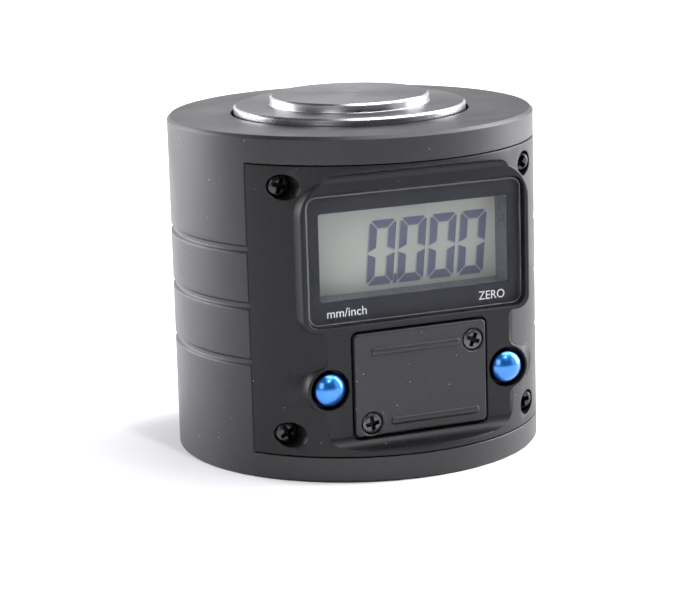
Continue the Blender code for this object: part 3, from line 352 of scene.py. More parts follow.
def tidy_mesh(piece, merge=0.0005 * MM):
    """Merge points that coincide, drop faces without area and turn all faces outwards."""
    bm = bmesh.new()
    bm.from_mesh(piece.data)
    bmesh.ops.remove_doubles(bm, verts=bm.verts, dist=merge)
    bmesh.ops.dissolve_degenerate(bm, edges=bm.edges, dist=merge)
    bmesh.ops.recalc_face_normals(bm, faces=bm.faces)
    bm.to_mesh(piece.data)
    bm.free()
    return piece


def turned(name, profile, sides=192, about=None):
    """Surface of revolution: each (radius, height) of the profile goes round the axis. The axis is Z, or
    the line along Y through about = (x, z), where height is the place along Y."""
    profile = np.asarray(profile, float)
    angle = np.arange(sides) * TURN / sides
    across = profile[:, :1] * np.cos(angle)
    up = profile[:, :1] * np.sin(angle)
    height = np.repeat(profile[:, 1:2], sides, axis=1)
    if about is None:
        grid = np.stack([across, up, height], axis=-1)
    else:
        grid = np.stack([across + about[0], height, up + about[1]], axis=-1)
    return skin(name, grid)


def carried(loops):
    """Grid of outlines in (x, z), each at its own place along Y: loops are (outline, y)."""
    return np.stack([np.insert(outline, 1, y, axis=1) for outline, y in loops])


def slab(name, outline, rows):
    """Outline carried along Y: outline(inset) gives the (x, z) points of each row's (inset, y)."""
    return skin(name, carried([(outline(inset), y) for inset, y in rows]), caps=True)


def rounding(wide, deep, front, steps=6):
    """Rows of a quarter round from a front face to its side, as (inset, y): sine and cosine of an angle
    take the inset from wide to nothing and the place from the front to deep behind it."""
    return [(wide * (1 - math.sin(t)), front + deep * (1 - math.cos(t)))
            for t in np.linspace(0, math.pi / 2, steps)]


def bore(name, profile, node_name, sides=72, upright=False):
    """Cutter turned about a node's own axis, along Y or upright along Z, with closed ends. The profile is
    (radius, place along the axis)."""
    spot = middle(node_name)
    closed = [(0, profile[0][1]), *profile, (0, profile[-1][1])]
    if not upright:
        return turned(name, closed, sides, about=(spot.x, spot.z))
    cutter = turned(name, closed, sides)
    cutter.data.transform(Matrix.Translation((spot.x, spot.y, 0)))
    return cutter


def box(name, low, high):
    """Rectangular block between two corners."""
    return slab(name, lambda inset: np.array(
        [(low[0], low[2]), (high[0], low[2]), (high[0], high[2]), (low[0], high[2])], float),
        [(0, low[1]), (0, high[1])])


def joined(name, pieces):
    """One object from several that don't touch."""
    bm = bmesh.new()
    for piece in pieces:
        bm.from_mesh(piece.data)
        bpy.data.objects.remove(piece, do_unlink=True)
    mesh = bpy.data.meshes.new(name)
    bm.to_mesh(mesh)
    bm.free()
    return new_object(name, mesh)


def combine(piece, operation, *tools):
    """Cut tools from a piece or fuse them to it, and keep only the result."""
    tool = joined(f"{piece.name}_tool", tools)
    step = piece.modifiers.new("step", "BOOLEAN")
    step.operation = operation
    step.solver = "EXACT"
    step.object = tool
    settle(piece)
    bpy.data.objects.remove(tool, do_unlink=True)
    return piece


def settle(piece):
    """Apply a piece's modifiers."""
    shape = bpy.data.meshes.new_from_object(piece.evaluated_get(bpy.context.evaluated_depsgraph_get()))
    piece.modifiers.clear()
    piece.data = shape
    return piece


def shade(piece, sharp=math.radians(32)):
    """Smooth shading with crisp edges, and normals that follow the larger faces."""
    tidy_mesh(piece)
    piece.data.shade_smooth()
    piece.data.set_sharp_from_angle(angle=sharp)
    weighted = piece.modifiers.new("face_weight", "WEIGHTED_NORMAL")
    weighted.keep_sharp = True
    return piece


def place(piece, body, slot, look, *nodes):
    """Give a piece its finish and its body, and hide the frame's nodes that it stands for. The slot is not
    used.
    """
    piece.data.materials.clear()
    piece.data.materials.append(look)
    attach(piece, body)
    if nodes:
        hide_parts(*nodes)
    return piece


def soft_max(first, second, reach):
    """The larger of two values, rounded over where they differ by less than reach."""
    overlap = np.maximum(reach - np.abs(first - second), 0) / np.maximum(reach, 1e-12)
    return np.maximum(first, second) + overlap ** 2 * reach / 4


# Node groups and materials

def node(tree, kind, settings=None, inputs=None):
    """A node with its settings and its input values; an input that is a socket is linked."""
    made = tree.nodes.new(kind)
    for key, value in (settings or {}).items():
        setattr(made, key, value)
    for key, value in (inputs or {}).items():
        if isinstance(value, bpy.types.NodeSocket):
            tree.links.new(value, made.inputs[key])
        else:
            made.inputs[key].default_value = value
    return made


def maths(tree, operation, first, second=0.0):
    """Output of a Math node."""
    return node(tree, "ShaderNodeMath", {"operation": operation}, {0: first, 1: second}).outputs[0]


def blend_colour(tree, share, first, second):
    """Output of a colour Mix node."""
    return node(tree, "ShaderNodeMix", {"data_type": "RGBA"}, {0: share, 6: first, 7: second}).outputs[2]


def blend_value(tree, share, first, second):
    """Output of a Mix node for plain values."""
    return node(tree, "ShaderNodeMix", {"data_type": "FLOAT"}, {0: share, 2: first, 3: second}).outputs[0]


def object_place(tree):
    """Output of the object's own coordinates."""
    return tree.nodes.new("ShaderNodeTexCoord").outputs["Object"]


def axes_of(tree, value):
    """Outputs X, Y and Z of a vector."""
    return node(tree, "ShaderNodeSeparateXYZ", {}, {0: value}).outputs


def spread(tree, value, low, high, to_low, to_high):
    """Output of a Map Range node, clamped."""
    return node(tree, "ShaderNodeMapRange", {"clamp": True},
                {0: value, 1: low, 2: high, 3: to_low, 4: to_high}).outputs[0]


def new_group(name, inputs, outputs):
    """Empty shader node group: inputs are (name, default), outputs are names."""
    group = bpy.data.node_groups.new(name, "ShaderNodeTree")
    for label, default in inputs:
        socket = group.interface.new_socket(name=label, in_out="INPUT", socket_type="NodeSocketFloat")
        socket.default_value = default
    for label in outputs:
        group.interface.new_socket(name=label, in_out="OUTPUT", socket_type="NodeSocketFloat")
    return group, group.nodes.new("NodeGroupInput"), group.nodes.new("NodeGroupOutput")


def grain_group():
    """Fine grain: two sizes of noise, added. Size is the grain in millimetres."""
    group, given, out = new_group("fine_grain", [("Size", 0.2), ("Coarse share", 0.35)], ["Value"])
    where = object_place(group)
    scale = maths(group, "DIVIDE", 1000.0, given.outputs["Size"])
    coarse_scale = maths(group, "MULTIPLY", scale, 0.21)
    fine = node(group, "ShaderNodeTexNoise", {}, {"Vector": where, "Scale": scale, "Detail": 2.0})
    coarse = node(group, "ShaderNodeTexNoise", {}, {"Vector": where, "Scale": coarse_scale, "Detail": 3.0})
    value = blend_value(group, given.outputs["Coarse share"], fine.outputs[0], coarse.outputs[0])
    group.links.new(value, out.inputs["Value"])
    return group


def dust_group():
    """Sparse specks: in a few cells of a cell pattern, the points nearest the cell's middle."""
    group, given, out = new_group("dust_specks", [("Cell", 1.5), ("Speck", 0.09), ("Share", 0.1)], ["Mask"])
    where = object_place(group)
    scale = maths(group, "DIVIDE", 1000.0, given.outputs["Cell"])
    cells = node(group, "ShaderNodeTexVoronoi", {}, {"Vector": where, "Scale": scale})
    chance = node(group, "ShaderNodeSeparateColor", {}, {0: cells.outputs["Color"]})
    reach = maths(group, "DIVIDE", given.outputs["Speck"], given.outputs["Cell"])
    size = maths(group, "MULTIPLY", reach, maths(group, "ADD", chance.outputs[1], 0.35))
    near = maths(group, "LESS_THAN", cells.outputs["Distance"], size)
    chosen = maths(group, "LESS_THAN", chance.outputs[0], given.outputs["Share"])
    bright = maths(group, "MULTIPLY", maths(group, "MULTIPLY", near, chosen), chance.outputs[2])
    group.links.new(bright, out.inputs["Mask"])
    return group


CLIMB = 0.73                    # how much a height counts in the lathe marks, against the same radius


def ring_group():
    """Lathe marks: noise along the distance from the Z axis and along Z, so it makes rings round it."""
    group, given, out = new_group("turning_marks", [("Pitch", 0.12), ("Wander", 0.15)], ["Value"])
    x, y, z = axes_of(group, object_place(group))
    squares = maths(group, "ADD", maths(group, "POWER", x, 2.0), maths(group, "POWER", y, 2.0))
    away = maths(group, "SQRT", squares)
    reach = maths(group, "ADD", away, maths(group, "MULTIPLY", z, CLIMB))
    scale = maths(group, "DIVIDE", 1000.0, given.outputs["Pitch"])
    angle = maths(group, "ARCTAN2", y, x)
    along = node(group, "ShaderNodeCombineXYZ", {}, {
        0: maths(group, "MULTIPLY", reach, scale),
        1: maths(group, "MULTIPLY", angle, given.outputs["Wander"]),
    })
    rings = node(group, "ShaderNodeTexNoise", {}, {"Vector": along.outputs[0], "Scale": 1.0, "Detail": 3.0})
    group.links.new(rings.outputs[0], out.inputs["Value"])
    return group


def smudge_group():
    """Broad uneven patches, as hands leave them. Size is in millimetres."""
    group, given, out = new_group("handling", [("Size", 9.0)], ["Value"])
    where = object_place(group)
    scale = maths(group, "DIVIDE", 1000.0, given.outputs["Size"])
    patches = node(group, "ShaderNodeTexNoise", {},
                   {"Vector": where, "Scale": scale, "Detail": 4.0, "Distortion": 0.6})
    group.links.new(patches.outputs[0], out.inputs["Value"])
    return group


GROUPS = {}


def effect(tree, name, **inputs):
    """Output of a shared node group placed in a material with its own values."""
    made = tree.nodes.new("ShaderNodeGroup")
    made.node_tree = GROUPS[name]
    for key, value in inputs.items():
        made.inputs[key.replace("_", " ")].default_value = value
    return made.outputs[0]


def once(make):
    """Make a material the first time that its name is asked for, and use it again after that."""
    def made(name, *values, **settings):
        return bpy.data.materials.get(f"{name}_finish") or make(name, *values, **settings)
    return made


def blank(name, **plain):
    """A material with a Principled shader whose plain sockets are set."""
    look = bpy.data.materials.new(f"{name}_finish")
    look.use_nodes = True
    shader = look.node_tree.nodes["Principled BSDF"]
    for key, value in plain.items():
        shader.inputs[key.replace("_", " ")].default_value = value
    return look, look.node_tree, shader


def rgba(values):
    """Colour with full alpha."""
    return (*values, 1.0)


def feed(tree, shader, **outputs):
    """Link outputs to the shader's sockets of the same names."""
    for key, output in outputs.items():
        tree.links.new(output, shader.inputs[key.replace("_", " ")])


def mottled(tree, value, base, dark, light, low=0.3, high=0.7):
    """Colour that goes from a darker to a lighter share of the base as a value goes from low to high."""
    return blend_colour(tree, spread(tree, value, low, high, 0.0, 1.0), rgba([part * dark for part in base]),
                        rgba([min(part * light, 1.0) for part in base]))


def bumped(tree, height, distance, strength=1.0):
    """Normal bumped by a height in units of distance."""
    return node(tree, "ShaderNodeBump", {}, {
        "Height": height, "Strength": strength, "Distance": distance}).outputs[0]


@once
def satin(name, base, rough, grain, relief, specks, specular=0.5):
    """Satin black: fine grain in colour and relief, uneven gloss and a few specks of dust."""
    look, tree, shader = blank(name, Specular_IOR_Level=specular)
    fine = effect(tree, "fine_grain", Size=grain, Coarse_share=0.3)
    patches = effect(tree, "handling", Size=11.0)
    dust = effect(tree, "dust_specks", Cell=1.0, Speck=0.070, Share=specks)
    body = blend_colour(tree, dust, mottled(tree, fine, base, 0.70, 1.45), (0.40, 0.40, 0.39, 1.0))
    gloss = maths(tree, "ADD", spread(tree, patches, 0.3, 0.7, rough - 0.04, rough + 0.04),
                  maths(tree, "MULTIPLY", dust, 0.3))
    height = maths(tree, "ADD", fine, maths(tree, "MULTIPLY", dust, 1.5))
    feed(tree, shader, Base_Color=body, Roughness=gloss, Normal=bumped(tree, height, relief))
    return look


@once
def metal(name, base, rough, pitch=0.0, relief=0.0, grain=0.12, anisotropic=0.0, recess=False):
    """Machined metal: turning marks or fine grain in its gloss, tone and relief. With recess, the piece's
    own recess attribute darkens it to a tenth of its colour: painted shade in a screw's cross."""
    look, tree, shader = blank(name, Metallic=1.0, Anisotropic=anisotropic)
    if pitch:
        marks = effect(tree, "turning_marks", Pitch=pitch, Wander=0.6)
    else:
        marks = effect(tree, "fine_grain", Size=grain, Coarse_share=0.4)
    patches = effect(tree, "handling", Size=7.0)
    body = mottled(tree, marks, base, 0.85, 1.15, 0.35, 0.65)
    if recess:
        # Painted shade in the cross: the recess attribute darkens the colour to a tenth
        deep = node(tree, "ShaderNodeAttribute", {"attribute_name": "recess"}).outputs["Fac"]
        body = blend_colour(tree, deep, body, rgba([part * 0.10 for part in base]))
    gloss = maths(tree, "ADD", spread(tree, marks, 0.3, 0.7, rough * 0.8, rough * 1.15),
                  spread(tree, patches, 0.3, 0.7, -0.03, 0.04))
    feed(tree, shader, Base_Color=body, Roughness=gloss)
    if relief:
        feed(tree, shader, Normal=bumped(tree, marks, relief))
    return look


@once
def ground_face_and_wall_sheen_look(name, base):
    """Anvil: fine grinding haze on its face and turning marks. Its turned walls and chamfers below are
    glossier, and painted sheen makes their colour two and a half times the face's.
    """
    look, tree, shader = blank(name, Metallic=1.0, Anisotropic=0.35)
    fine = effect(tree, "fine_grain", Size=0.10, Coarse_share=0.5)
    rings = effect(tree, "turning_marks", Pitch=0.10, Wander=1.2)
    patches = effect(tree, "handling", Size=8.0)
    upward = axes_of(tree, node(tree, "ShaderNodeNewGeometry").outputs["Normal"])[2]
    flat = spread(tree, upward, 0.9, 0.99, 0.0, 1.0)
    marks = blend_value(tree, 0.45, fine, rings)
    # Painted sheen: faces that don't point up take two and a half times the face's colour
    wall = rgba([min(part * 2.5, 1.0) for part in base])
    body = blend_colour(tree, flat, wall, mottled(tree, marks, base, 0.80, 1.15, 0.35, 0.65))
    gloss = maths(tree, "ADD", blend_value(tree, flat, 0.27, 0.42),
                  spread(tree, patches, 0.3, 0.7, -0.04, 0.05))
    feed(tree, shader, Base_Color=body, Roughness=gloss, Normal=bumped(tree, marks, 0.004 * MM))
    return look


@once
def lacquer_look(name, base):
    """Blue metallic lacquer on the dome: fine flakes under a clear coat. From just in front of the pad
    backwards the colour goes to near black and the coat fades out: painted shade in the key's hole, over the
    collar and the stem too.
    """
    look, tree, shader = blank(name, Metallic=0.85, Coat_Roughness=0.06, Coat_IOR=1.5)
    flakes = effect(tree, "fine_grain", Size=0.04, Coarse_share=0.1)
    depth = axes_of(tree, object_place(tree))[1]
    # Painted shade in the key's hole: near black from just in front of the pad backwards
    hidden = spread(tree, depth, PAD_Y - 0.05 * MM, PAD_Y + 0.25 * MM, 0.0, 1.0)
    body = blend_colour(tree, hidden, mottled(tree, flakes, base, 0.85, 1.12), (0.004, 0.005, 0.008, 1.0))
    feed(tree, shader, Base_Color=body, Coat_Weight=maths(tree, "SUBTRACT", 1.0, hidden),
         Roughness=spread(tree, flakes, 0.3, 0.7, 0.28, 0.32))
    return look


@once
def gloss_black_look(name, base, rough):
    """Glossy black print: faint haze and dust."""
    look, tree, shader = blank(name, Specular_IOR_Level=0.15)
    haze = effect(tree, "handling", Size=5.0)
    dust = effect(tree, "dust_specks", Cell=1.1, Speck=0.07, Share=0.12)
    feed(tree, shader, Base_Color=blend_colour(tree, dust, rgba(base), (0.20, 0.20, 0.21, 1.0)),
         Roughness=spread(tree, haze, 0.3, 0.7, rough * 0.8, rough * 1.3))
    return look


@once
def pane_look(name):
    """Clear acrylic that lets light through to the display, with a few dull specks of dust."""
    look, tree, shader = blank(name, Metallic=0.0, Transmission_Weight=1.0, IOR=1.2)
    shader.inputs["Base Color"].default_value = (0.97, 0.98, 1.0, 1.0)
    dust = effect(tree, "dust_specks", Cell=1.3, Speck=0.06, Share=0.10)
    feed(tree, shader, Roughness=maths(tree, "MULTIPLY", dust, 0.4))
    out = tree.nodes["Material Output"]
    through = node(tree, "ShaderNodeBsdfTransparent", {}, {"Color": (0.96, 0.97, 0.98, 1.0)})
    path = tree.nodes.new("ShaderNodeLightPath")
    mix = node(tree, "ShaderNodeMixShader", {}, {0: path.outputs["Is Shadow Ray"], 1: shader.outputs[0],
                                                 2: through.outputs[0]})
    tree.links.new(mix.outputs[0], out.inputs["Surface"])
    return look


@once
def display_look(name, base):
    """Reflective display: faint green grey with broad, slightly uneven patches."""
    look, tree, shader = blank(name, Specular_IOR_Level=0.4)
    patches = effect(tree, "handling", Size=14.0)
    fine = effect(tree, "fine_grain", Size=0.12, Coarse_share=0.1)
    body = mottled(tree, patches, base, 0.93, 1.05, 0.25, 0.75)
    body = blend_colour(tree, spread(tree, fine, 0.2, 0.8, 0.0, 0.06), body, (0.2, 0.2, 0.2, 1.0))
    feed(tree, shader, Base_Color=body, Roughness=spread(tree, patches, 0.3, 0.7, 0.35, 0.5))
    return look


@once
def print_look(name, base, rough=0.5, tone=0.08):
    """Printed ink or plain moulding with a slight unevenness."""
    look, tree, shader = blank(name)
    fine = effect(tree, "fine_grain", Size=0.15, Coarse_share=0.4)
    feed(tree, shader, Base_Color=mottled(tree, fine, base, 1 - tone, 1 + tone),
         Roughness=spread(tree, fine, 0.3, 0.7, rough - 0.06, rough + 0.06),
         Normal=bumped(tree, fine, 0.002 * MM))
    return look


@once
def board_look(name):
    """Green solder mask over copper tracks: a brick pattern of thin lines, lighter than the rest."""
    look, tree, shader = blank(name, Coat_Weight=0.3)
    where = node(tree, "ShaderNodeMapping", {}, {
        "Vector": object_place(tree), "Rotation": (math.pi / 2, 0.0, 0.0)}).outputs[0]
    tracks = node(tree, "ShaderNodeTexBrick", {}, {
        "Vector": where, "Scale": 330.0, "Mortar Size": 0.06, "Mortar Smooth": 0.1,
        "Color1": (0.0, 0.0, 0.0, 1.0), "Color2": (0.0, 0.0, 0.0, 1.0), "Mortar": (1.0, 1.0, 1.0, 1.0)})
    fine = effect(tree, "fine_grain", Size=0.3, Coarse_share=0.5)
    body = blend_colour(tree, tracks.outputs[0], (0.010, 0.085, 0.035, 1.0), (0.025, 0.170, 0.060, 1.0))
    feed(tree, shader, Base_Color=body, Roughness=spread(tree, fine, 0.3, 0.7, 0.25, 0.4),
         Normal=bumped(tree, tracks.outputs[0], 0.03 * MM, 0.4))
    return look


@once
def scale_look(name):
    """Measuring scale: copper electrode bars, one for each millimetre of height, on green laminate."""
    look, tree, shader = blank(name)
    height = axes_of(tree, object_place(tree))[2]
    wave = maths(tree, "SINE", maths(tree, "MULTIPLY", height, TURN / MM))
    bars = spread(tree, wave, -0.1, 0.1, 0.0, 1.0)
    body = blend_colour(tree, bars, (0.012, 0.075, 0.030, 1.0), (0.45, 0.30, 0.12, 1.0))
    fine = effect(tree, "fine_grain", Size=0.2, Coarse_share=0.5)
    feed(tree, shader, Base_Color=body, Metallic=maths(tree, "MULTIPLY", bars, 0.9),
         Roughness=spread(tree, fine, 0.3, 0.7, 0.3, 0.42))
    return look


def build_groups():
    """Make the shared node groups once."""
    for make in (grain_group, dust_group, ring_group, smudge_group):
        group = make()
        GROUPS[group.name] = group


# Casing

def casing_rows(sizes):
    """Rows of the casing's outside from the foot up: (radius, height, floor). The floor is the least radius
    that the flat for the panel may leave, so a row whose floor is its own radius stays round."""
    break_radius = sizes.break_radius
    lower = PANEL_LOW.z - FIT
    upper = PANEL_HIGH.z + FIT
    turn = np.linspace(0, math.pi / 2, 6)
    ledge_height = break_radius * (1 - np.sin(turn))
    ledge_floor = RADIUS - break_radius * (1 - np.cos(turn))
    round_ledge = np.full_like(turn, RADIUS)
    below = np.stack([round_ledge, lower - ledge_height, ledge_floor], axis=1)
    above = np.stack([round_ledge, upper + ledge_height, ledge_floor], axis=1)[::-1]
    rows = [below, [(RADIUS, lower, 0.0), (RADIUS, lower + MM, 0.0)]]
    half = sizes.groove_width / 2
    for number in range(3):
        height = sizes.lowest_groove + number * sizes.groove_pitch
        groove = eased([
            (RADIUS, height - 2 * half), (RADIUS, height - half, break_radius),
            (RADIUS - sizes.groove_depth, height - half / 2, break_radius),
            (RADIUS - sizes.groove_depth, height + half / 2, break_radius),
            (RADIUS, height + half, break_radius), (RADIUS, height + 2 * half),
        ], 4, closed=False)
        rows.append(np.insert(groove, 2, 0.0, axis=1))
    rows += [[(RADIUS, upper - MM, 0.0), (RADIUS, upper, 0.0)], above]
    return np.concatenate([np.asarray(row, float) for row in rows])


def casing_surface(sizes):
    """Closed grid: each row of the profile goes round Z. Where the panel sits, the radius is cut back to
    the flat, which is at |flat| / cos(angle from the front), and their meeting is rounded over."""
    base_gap = BASE_HIGH.x + SEAT_GAP
    recess = PLATE_THICKNESS + SEAT_GAP
    shaft = BUSH_HIGH.x + FIT
    well = ANVIL_HIGH.x + WELL_GAP
    top = CASING_HIGH.z
    small = sizes.break_radius / 2
    foot = eased([
        (shaft, recess), (base_gap, recess), (base_gap, 0.0, small),
        (RADIUS - sizes.foot_chamfer, 0.0, small), (RADIUS, sizes.foot_chamfer, small),
        (RADIUS, PANEL_LOW.z / 2),
    ], 3, closed=False)
    head = eased([
        (RADIUS, (PANEL_HIGH.z + top) / 2), (RADIUS, top - sizes.top_chamfer, small),
        (RADIUS - sizes.top_chamfer, top, small), (well, top, sizes.break_radius), (well, WELL_FLOOR),
        (shaft, WELL_FLOOR),
    ], 4, closed=False)
    solid = [np.insert(part, 2, part[:, 0], axis=1) for part in (foot, head)]
    rows = np.concatenate([solid[0], casing_rows(sizes), solid[1]])
    corner = math.acos(-FLAT_Y / RADIUS)
    near = np.linspace(-0.4, 0.4, 9) * MM / RADIUS
    all_round = np.linspace(-math.pi, math.pi, 361)[:-1]
    angle = np.unique(np.concatenate([all_round, corner + near, -corner - near]))
    front = np.maximum(np.cos(angle), 1e-3)
    flat = np.where(np.cos(angle) > 0.2, -FLAT_Y / front, 10 * RADIUS)
    radius, height, floor = rows[:, :1], rows[:, 1:2], rows[:, 2:3]
    cut = -soft_max(-radius, -flat[None], SEAT_EDGE)
    reach = np.where(floor >= radius, radius, np.maximum(floor, cut))
    up = np.broadcast_to(height, reach.shape)
    grid = np.stack([reach * np.sin(angle), -reach * np.cos(angle), up], axis=-1)
    return skin("casing_shell", grid, close_rows=True)


def carve_casing(shell):
    """Hollows inside the casing: board pocket, carrier cavity, guide pin's hole and screw holes."""
    back = BOARD_HIGH.y + 1.5 * MM
    margin = 0.7 * MM
    lower_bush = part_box("lower_bush")[1].z
    reach = 1.2 * MM
    bush_seat = 0.5 * MM
    combine(shell, "DIFFERENCE", box(
        "board_pocket", (BOARD_LOW.x - margin, FLAT_Y - MM, BOARD_LOW.z - margin),
        (BOARD_HIGH.x + margin, back, BOARD_HIGH.z + margin)))
    combine(shell, "DIFFERENCE", box(
        "carrier_cavity", (CARRIER_LOW.x - reach, back - MM, lower_bush + bush_seat),
        (CARRIER_HIGH.x + reach, CARRIER_HIGH.y + reach / 2, BUSH_LOW.z - bush_seat)))
    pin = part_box("guide_pin")[1]
    holes = [bore("pin_hole", [(pin.x + FIT, SOCKET_DEPTH), (pin.x + FIT, pin.z + FIT)], "guide_pin", 24,
                  upright=True)]
    for name in PANEL_SCREWS:
        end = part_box(name)[1].y + MM
        holes.append(bore("hole", [(SCREW_HOLE, FLAT_Y - MM), (SCREW_HOLE, end)], name, 24))
    for name in BASE_SCREWS:
        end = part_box(name)[1].z + FIT
        holes.append(bore("hole", [(SCREW_HOLE, MM), (SCREW_HOLE, end)], name, 24, upright=True))
    return combine(shell, "DIFFERENCE", *holes)


# Front panel

CREASE_ROWS = (0.12 * MM, 0.24 * MM, 0.36 * MM)     # rows past the line where the wall meets the curve


def fillet_rows(column_y, centre_z, radius, draft, side):
    """Rows from the pad out over a fillet, up its drafted wall and onto the casing's curve. The fillet
    stops where it meets the curve: its last angle is the arc cosine of the depth left, over its radius."""
    centre_y = PAD_Y - radius
    last = np.arccos(np.clip((column_y - centre_y) / radius, 0, 1))
    wall = np.maximum(centre_y - column_y, 0)
    rows = []
    for share in np.linspace(0, 1, 9):
        y = centre_y + radius * np.cos(last * share)
        y = soft_max(y, column_y, SOFT_EDGE * (1 - share) + 1e-9)
        rows.append((y, centre_z + side * radius * np.sin(last * share)))
    start = centre_z + side * radius * np.sin(last)
    for left in (0.45, 0.30, 0.15, 0.0):
        run = np.maximum(wall - left * MM, 0)
        rows.append((np.maximum(centre_y - run, column_y), start + side * run * math.tan(draft)))
    crease = start + side * wall * math.tan(draft)
    for past in CREASE_ROWS:
        rows.append((column_y, crease + side * past))
    return rows


def panel_surface(sizes):
    """Closed grid of YZ sections, one for each column across. A section follows the casing's curve, dips
    to the flat pad between two fillets, and comes back down the flat rear with the same heights."""
    half = math.acos(-PANEL_HIGH.y / RADIUS)
    pad = math.acos(-PAD_Y / RADIUS)
    near = np.linspace(-0.6, 0.6, 9) * MM / RADIUS
    angle = np.unique(np.concatenate([np.linspace(-half, half, 161), pad + near, -pad - near]))
    across = RADIUS * np.sin(angle)
    curve = np.minimum(-RADIUS * np.cos(angle), PANEL_HIGH.y)
    edge = np.minimum(sizes.edge, (PANEL_HIGH.y - curve) / 3)
    lower = [(curve + edge * (1 - math.sin(t)), PANEL_LOW.z + edge * (1 - math.cos(t)))
             for t in np.linspace(0, math.pi / 2, 5)]
    upper = [(y, PANEL_LOW.z + PANEL_HIGH.z - z) for y, z in reversed(lower)]
    foot_z = PANEL_LOW.z + sizes.foot_margin + sizes.foot_fillet
    head_z = PANEL_HIGH.z - sizes.head_margin
    foot = fillet_rows(curve, foot_z, sizes.foot_fillet, FOOT_DRAFT, -1)[::-1]
    head = fillet_rows(curve, head_z, sizes.head_fillet, HEAD_DRAFT, 1)
    pad_rows = [(soft_max(PAD_Y, curve, SOFT_EDGE), np.full_like(curve, foot_z + (head_z - foot_z) * share))
                for share in np.linspace(0, 1, 9)[1:-1]]
    rows = lower + foot + pad_rows + head + upper
    grid = np.stack([np.stack([across, y, np.broadcast_to(z, y.shape)], axis=-1) for y, z in rows])
    past = len(CREASE_ROWS)
    creases = (len(lower) + past, len(lower) + len(foot) + len(pad_rows) + len(head) - past - 1)
    for _ in range(3):
        for crease in creases:
            near_rows = slice(crease - 2, crease + 3)
            before = grid[crease - 3:crease + 2]
            after = grid[crease - 1:crease + 4]
            grid[near_rows] = (before + 2 * grid[near_rows] + after) / 4
    grid[:, (0, -1), 1] = PANEL_HIGH.y
    rear = grid[::-1].copy()
    rear[:, :, 1] = PANEL_HIGH.y
    return skin("panel_shell", np.concatenate([grid, rear]), close_rows=True, close_columns=False)


def plate_outline(sizes, keys, inset):
    """Outline of the raised face: the bezel above, the pad's sides, and a boss round each key. Every arc
    keeps its centre, and an inset shrinks the outward arcs and grows the inward ones."""
    key = middle("zero_button")
    side = math.sqrt(RADIUS ** 2 - PAD_Y ** 2)
    half = WINDOW_HIGH.x + SEAT_GAP + sizes.bezel_wall
    top = WINDOW_HIGH.z + BEZEL_HEAD
    bottom = WINDOW_LOW.z - BEZEL_FOOT
    corner, lower = sizes.bezel_corner, sizes.bezel_foot_corner
    blend = sizes.boss_blend
    boss = keys.radius + keys.hole_gap + sizes.boss_wall
    step = side + blend - key.x
    rise = math.sqrt((boss + blend) ** 2 - step ** 2)
    lean = math.atan2(rise, step)
    foot = PANEL_LOW.z + sizes.foot_margin + 0.5 * MM
    bay = 0.8 * MM
    right = np.concatenate([
        arc((half - corner, top - corner), corner - inset, math.pi / 2, 0, 10),
        arc((half - lower, bottom + lower), lower - inset, 0, -math.pi / 2, 6),
        arc((side + bay, bottom - bay), bay + inset, math.pi / 2, math.pi, 5),
        arc((side + blend, key.z + rise), blend + inset, math.pi, math.pi + lean, 6),
        arc((key.x, key.z), boss - inset, lean, -lean, 24),
        arc((side + blend, key.z - rise), blend + inset, math.pi - lean, math.pi, 6),
        arc((side - MM, foot + MM), MM - inset, 0, -math.pi / 2, 4),
    ])
    left = right[::-1] * (-1, 1)
    return np.concatenate([right, left])


def panel_additions(sizes, keys):
    """Raised face with rounded edges, and the bosses' flared roots, whose radius grows with the square of
    their depth."""
    rows = rounding(sizes.plate_edge, sizes.plate_edge, PAD_Y - PROUD)
    rows.append((-0.10 * MM, PAD_Y + 4.0 * MM))
    plate = slab("face_plate", lambda inset: plate_outline(sizes, keys, inset), rows)
    boss = keys.radius + keys.hole_gap + sizes.boss_wall
    start, depth, wider = PAD_Y + 0.45 * MM, 2.7 * MM, 2.0 * MM
    flare = [(boss + wider * t * t, start + depth * t) for t in np.linspace(0, 1, 9)]
    profile = [(0, start), *flare, (0, start + depth)]
    key = middle("zero_button")
    roots = [turned("boss_root", profile, 96, about=(side * key.x, key.z)) for side in KEYS.values()]
    return plate, roots


def seat(name, low, high, corner, floor, mouth):
    """Cutter for a seat in the pad: straight walls with a chamfered mouth."""
    front = PAD_Y - PROUD
    rows = [(-mouth, PAD_Y - 2 * MM), (-mouth, front), (0, front + mouth), (0, floor)]
    return slab(name, lambda inset: rounded_box(low, high, corner, inset), rows)


def ring_mouth(name, centre, radius, size):
    """Chamfer round a hole in the casing's curve: a triangle carried along the hole's rim, which lies
    where the hole's cylinder meets the casing's. It takes equal strips off the surface and the wall."""
    angle = np.linspace(0, TURN, 73)[:-1]
    out = np.stack([np.cos(angle), np.zeros_like(angle), np.sin(angle)], axis=1)
    rim = np.array([centre[0], 0, centre[1]]) + radius * out
    rim[:, 1] = -np.sqrt(RADIUS ** 2 - rim[:, 0] ** 2)
    normal = np.stack([rim[:, 0], rim[:, 1], np.zeros_like(angle)], axis=1) / RADIUS
    along = out - normal * np.sum(out * normal, axis=1, keepdims=True)
    along /= np.linalg.norm(along, axis=1, keepdims=True)
    down = np.array([0.0, 1.0, 0.0])
    corners = [rim + (along * 1.0 + normal * 0.05) * size, rim + (down - out * 0.05) * size,
               rim - out * size * 1.5 + down * size * 0.5, rim - out * size * 1.5 - down * size * 3,
               rim + along * size + normal * size * 2]
    return skin(name, np.stack(corners), close_rows=True)


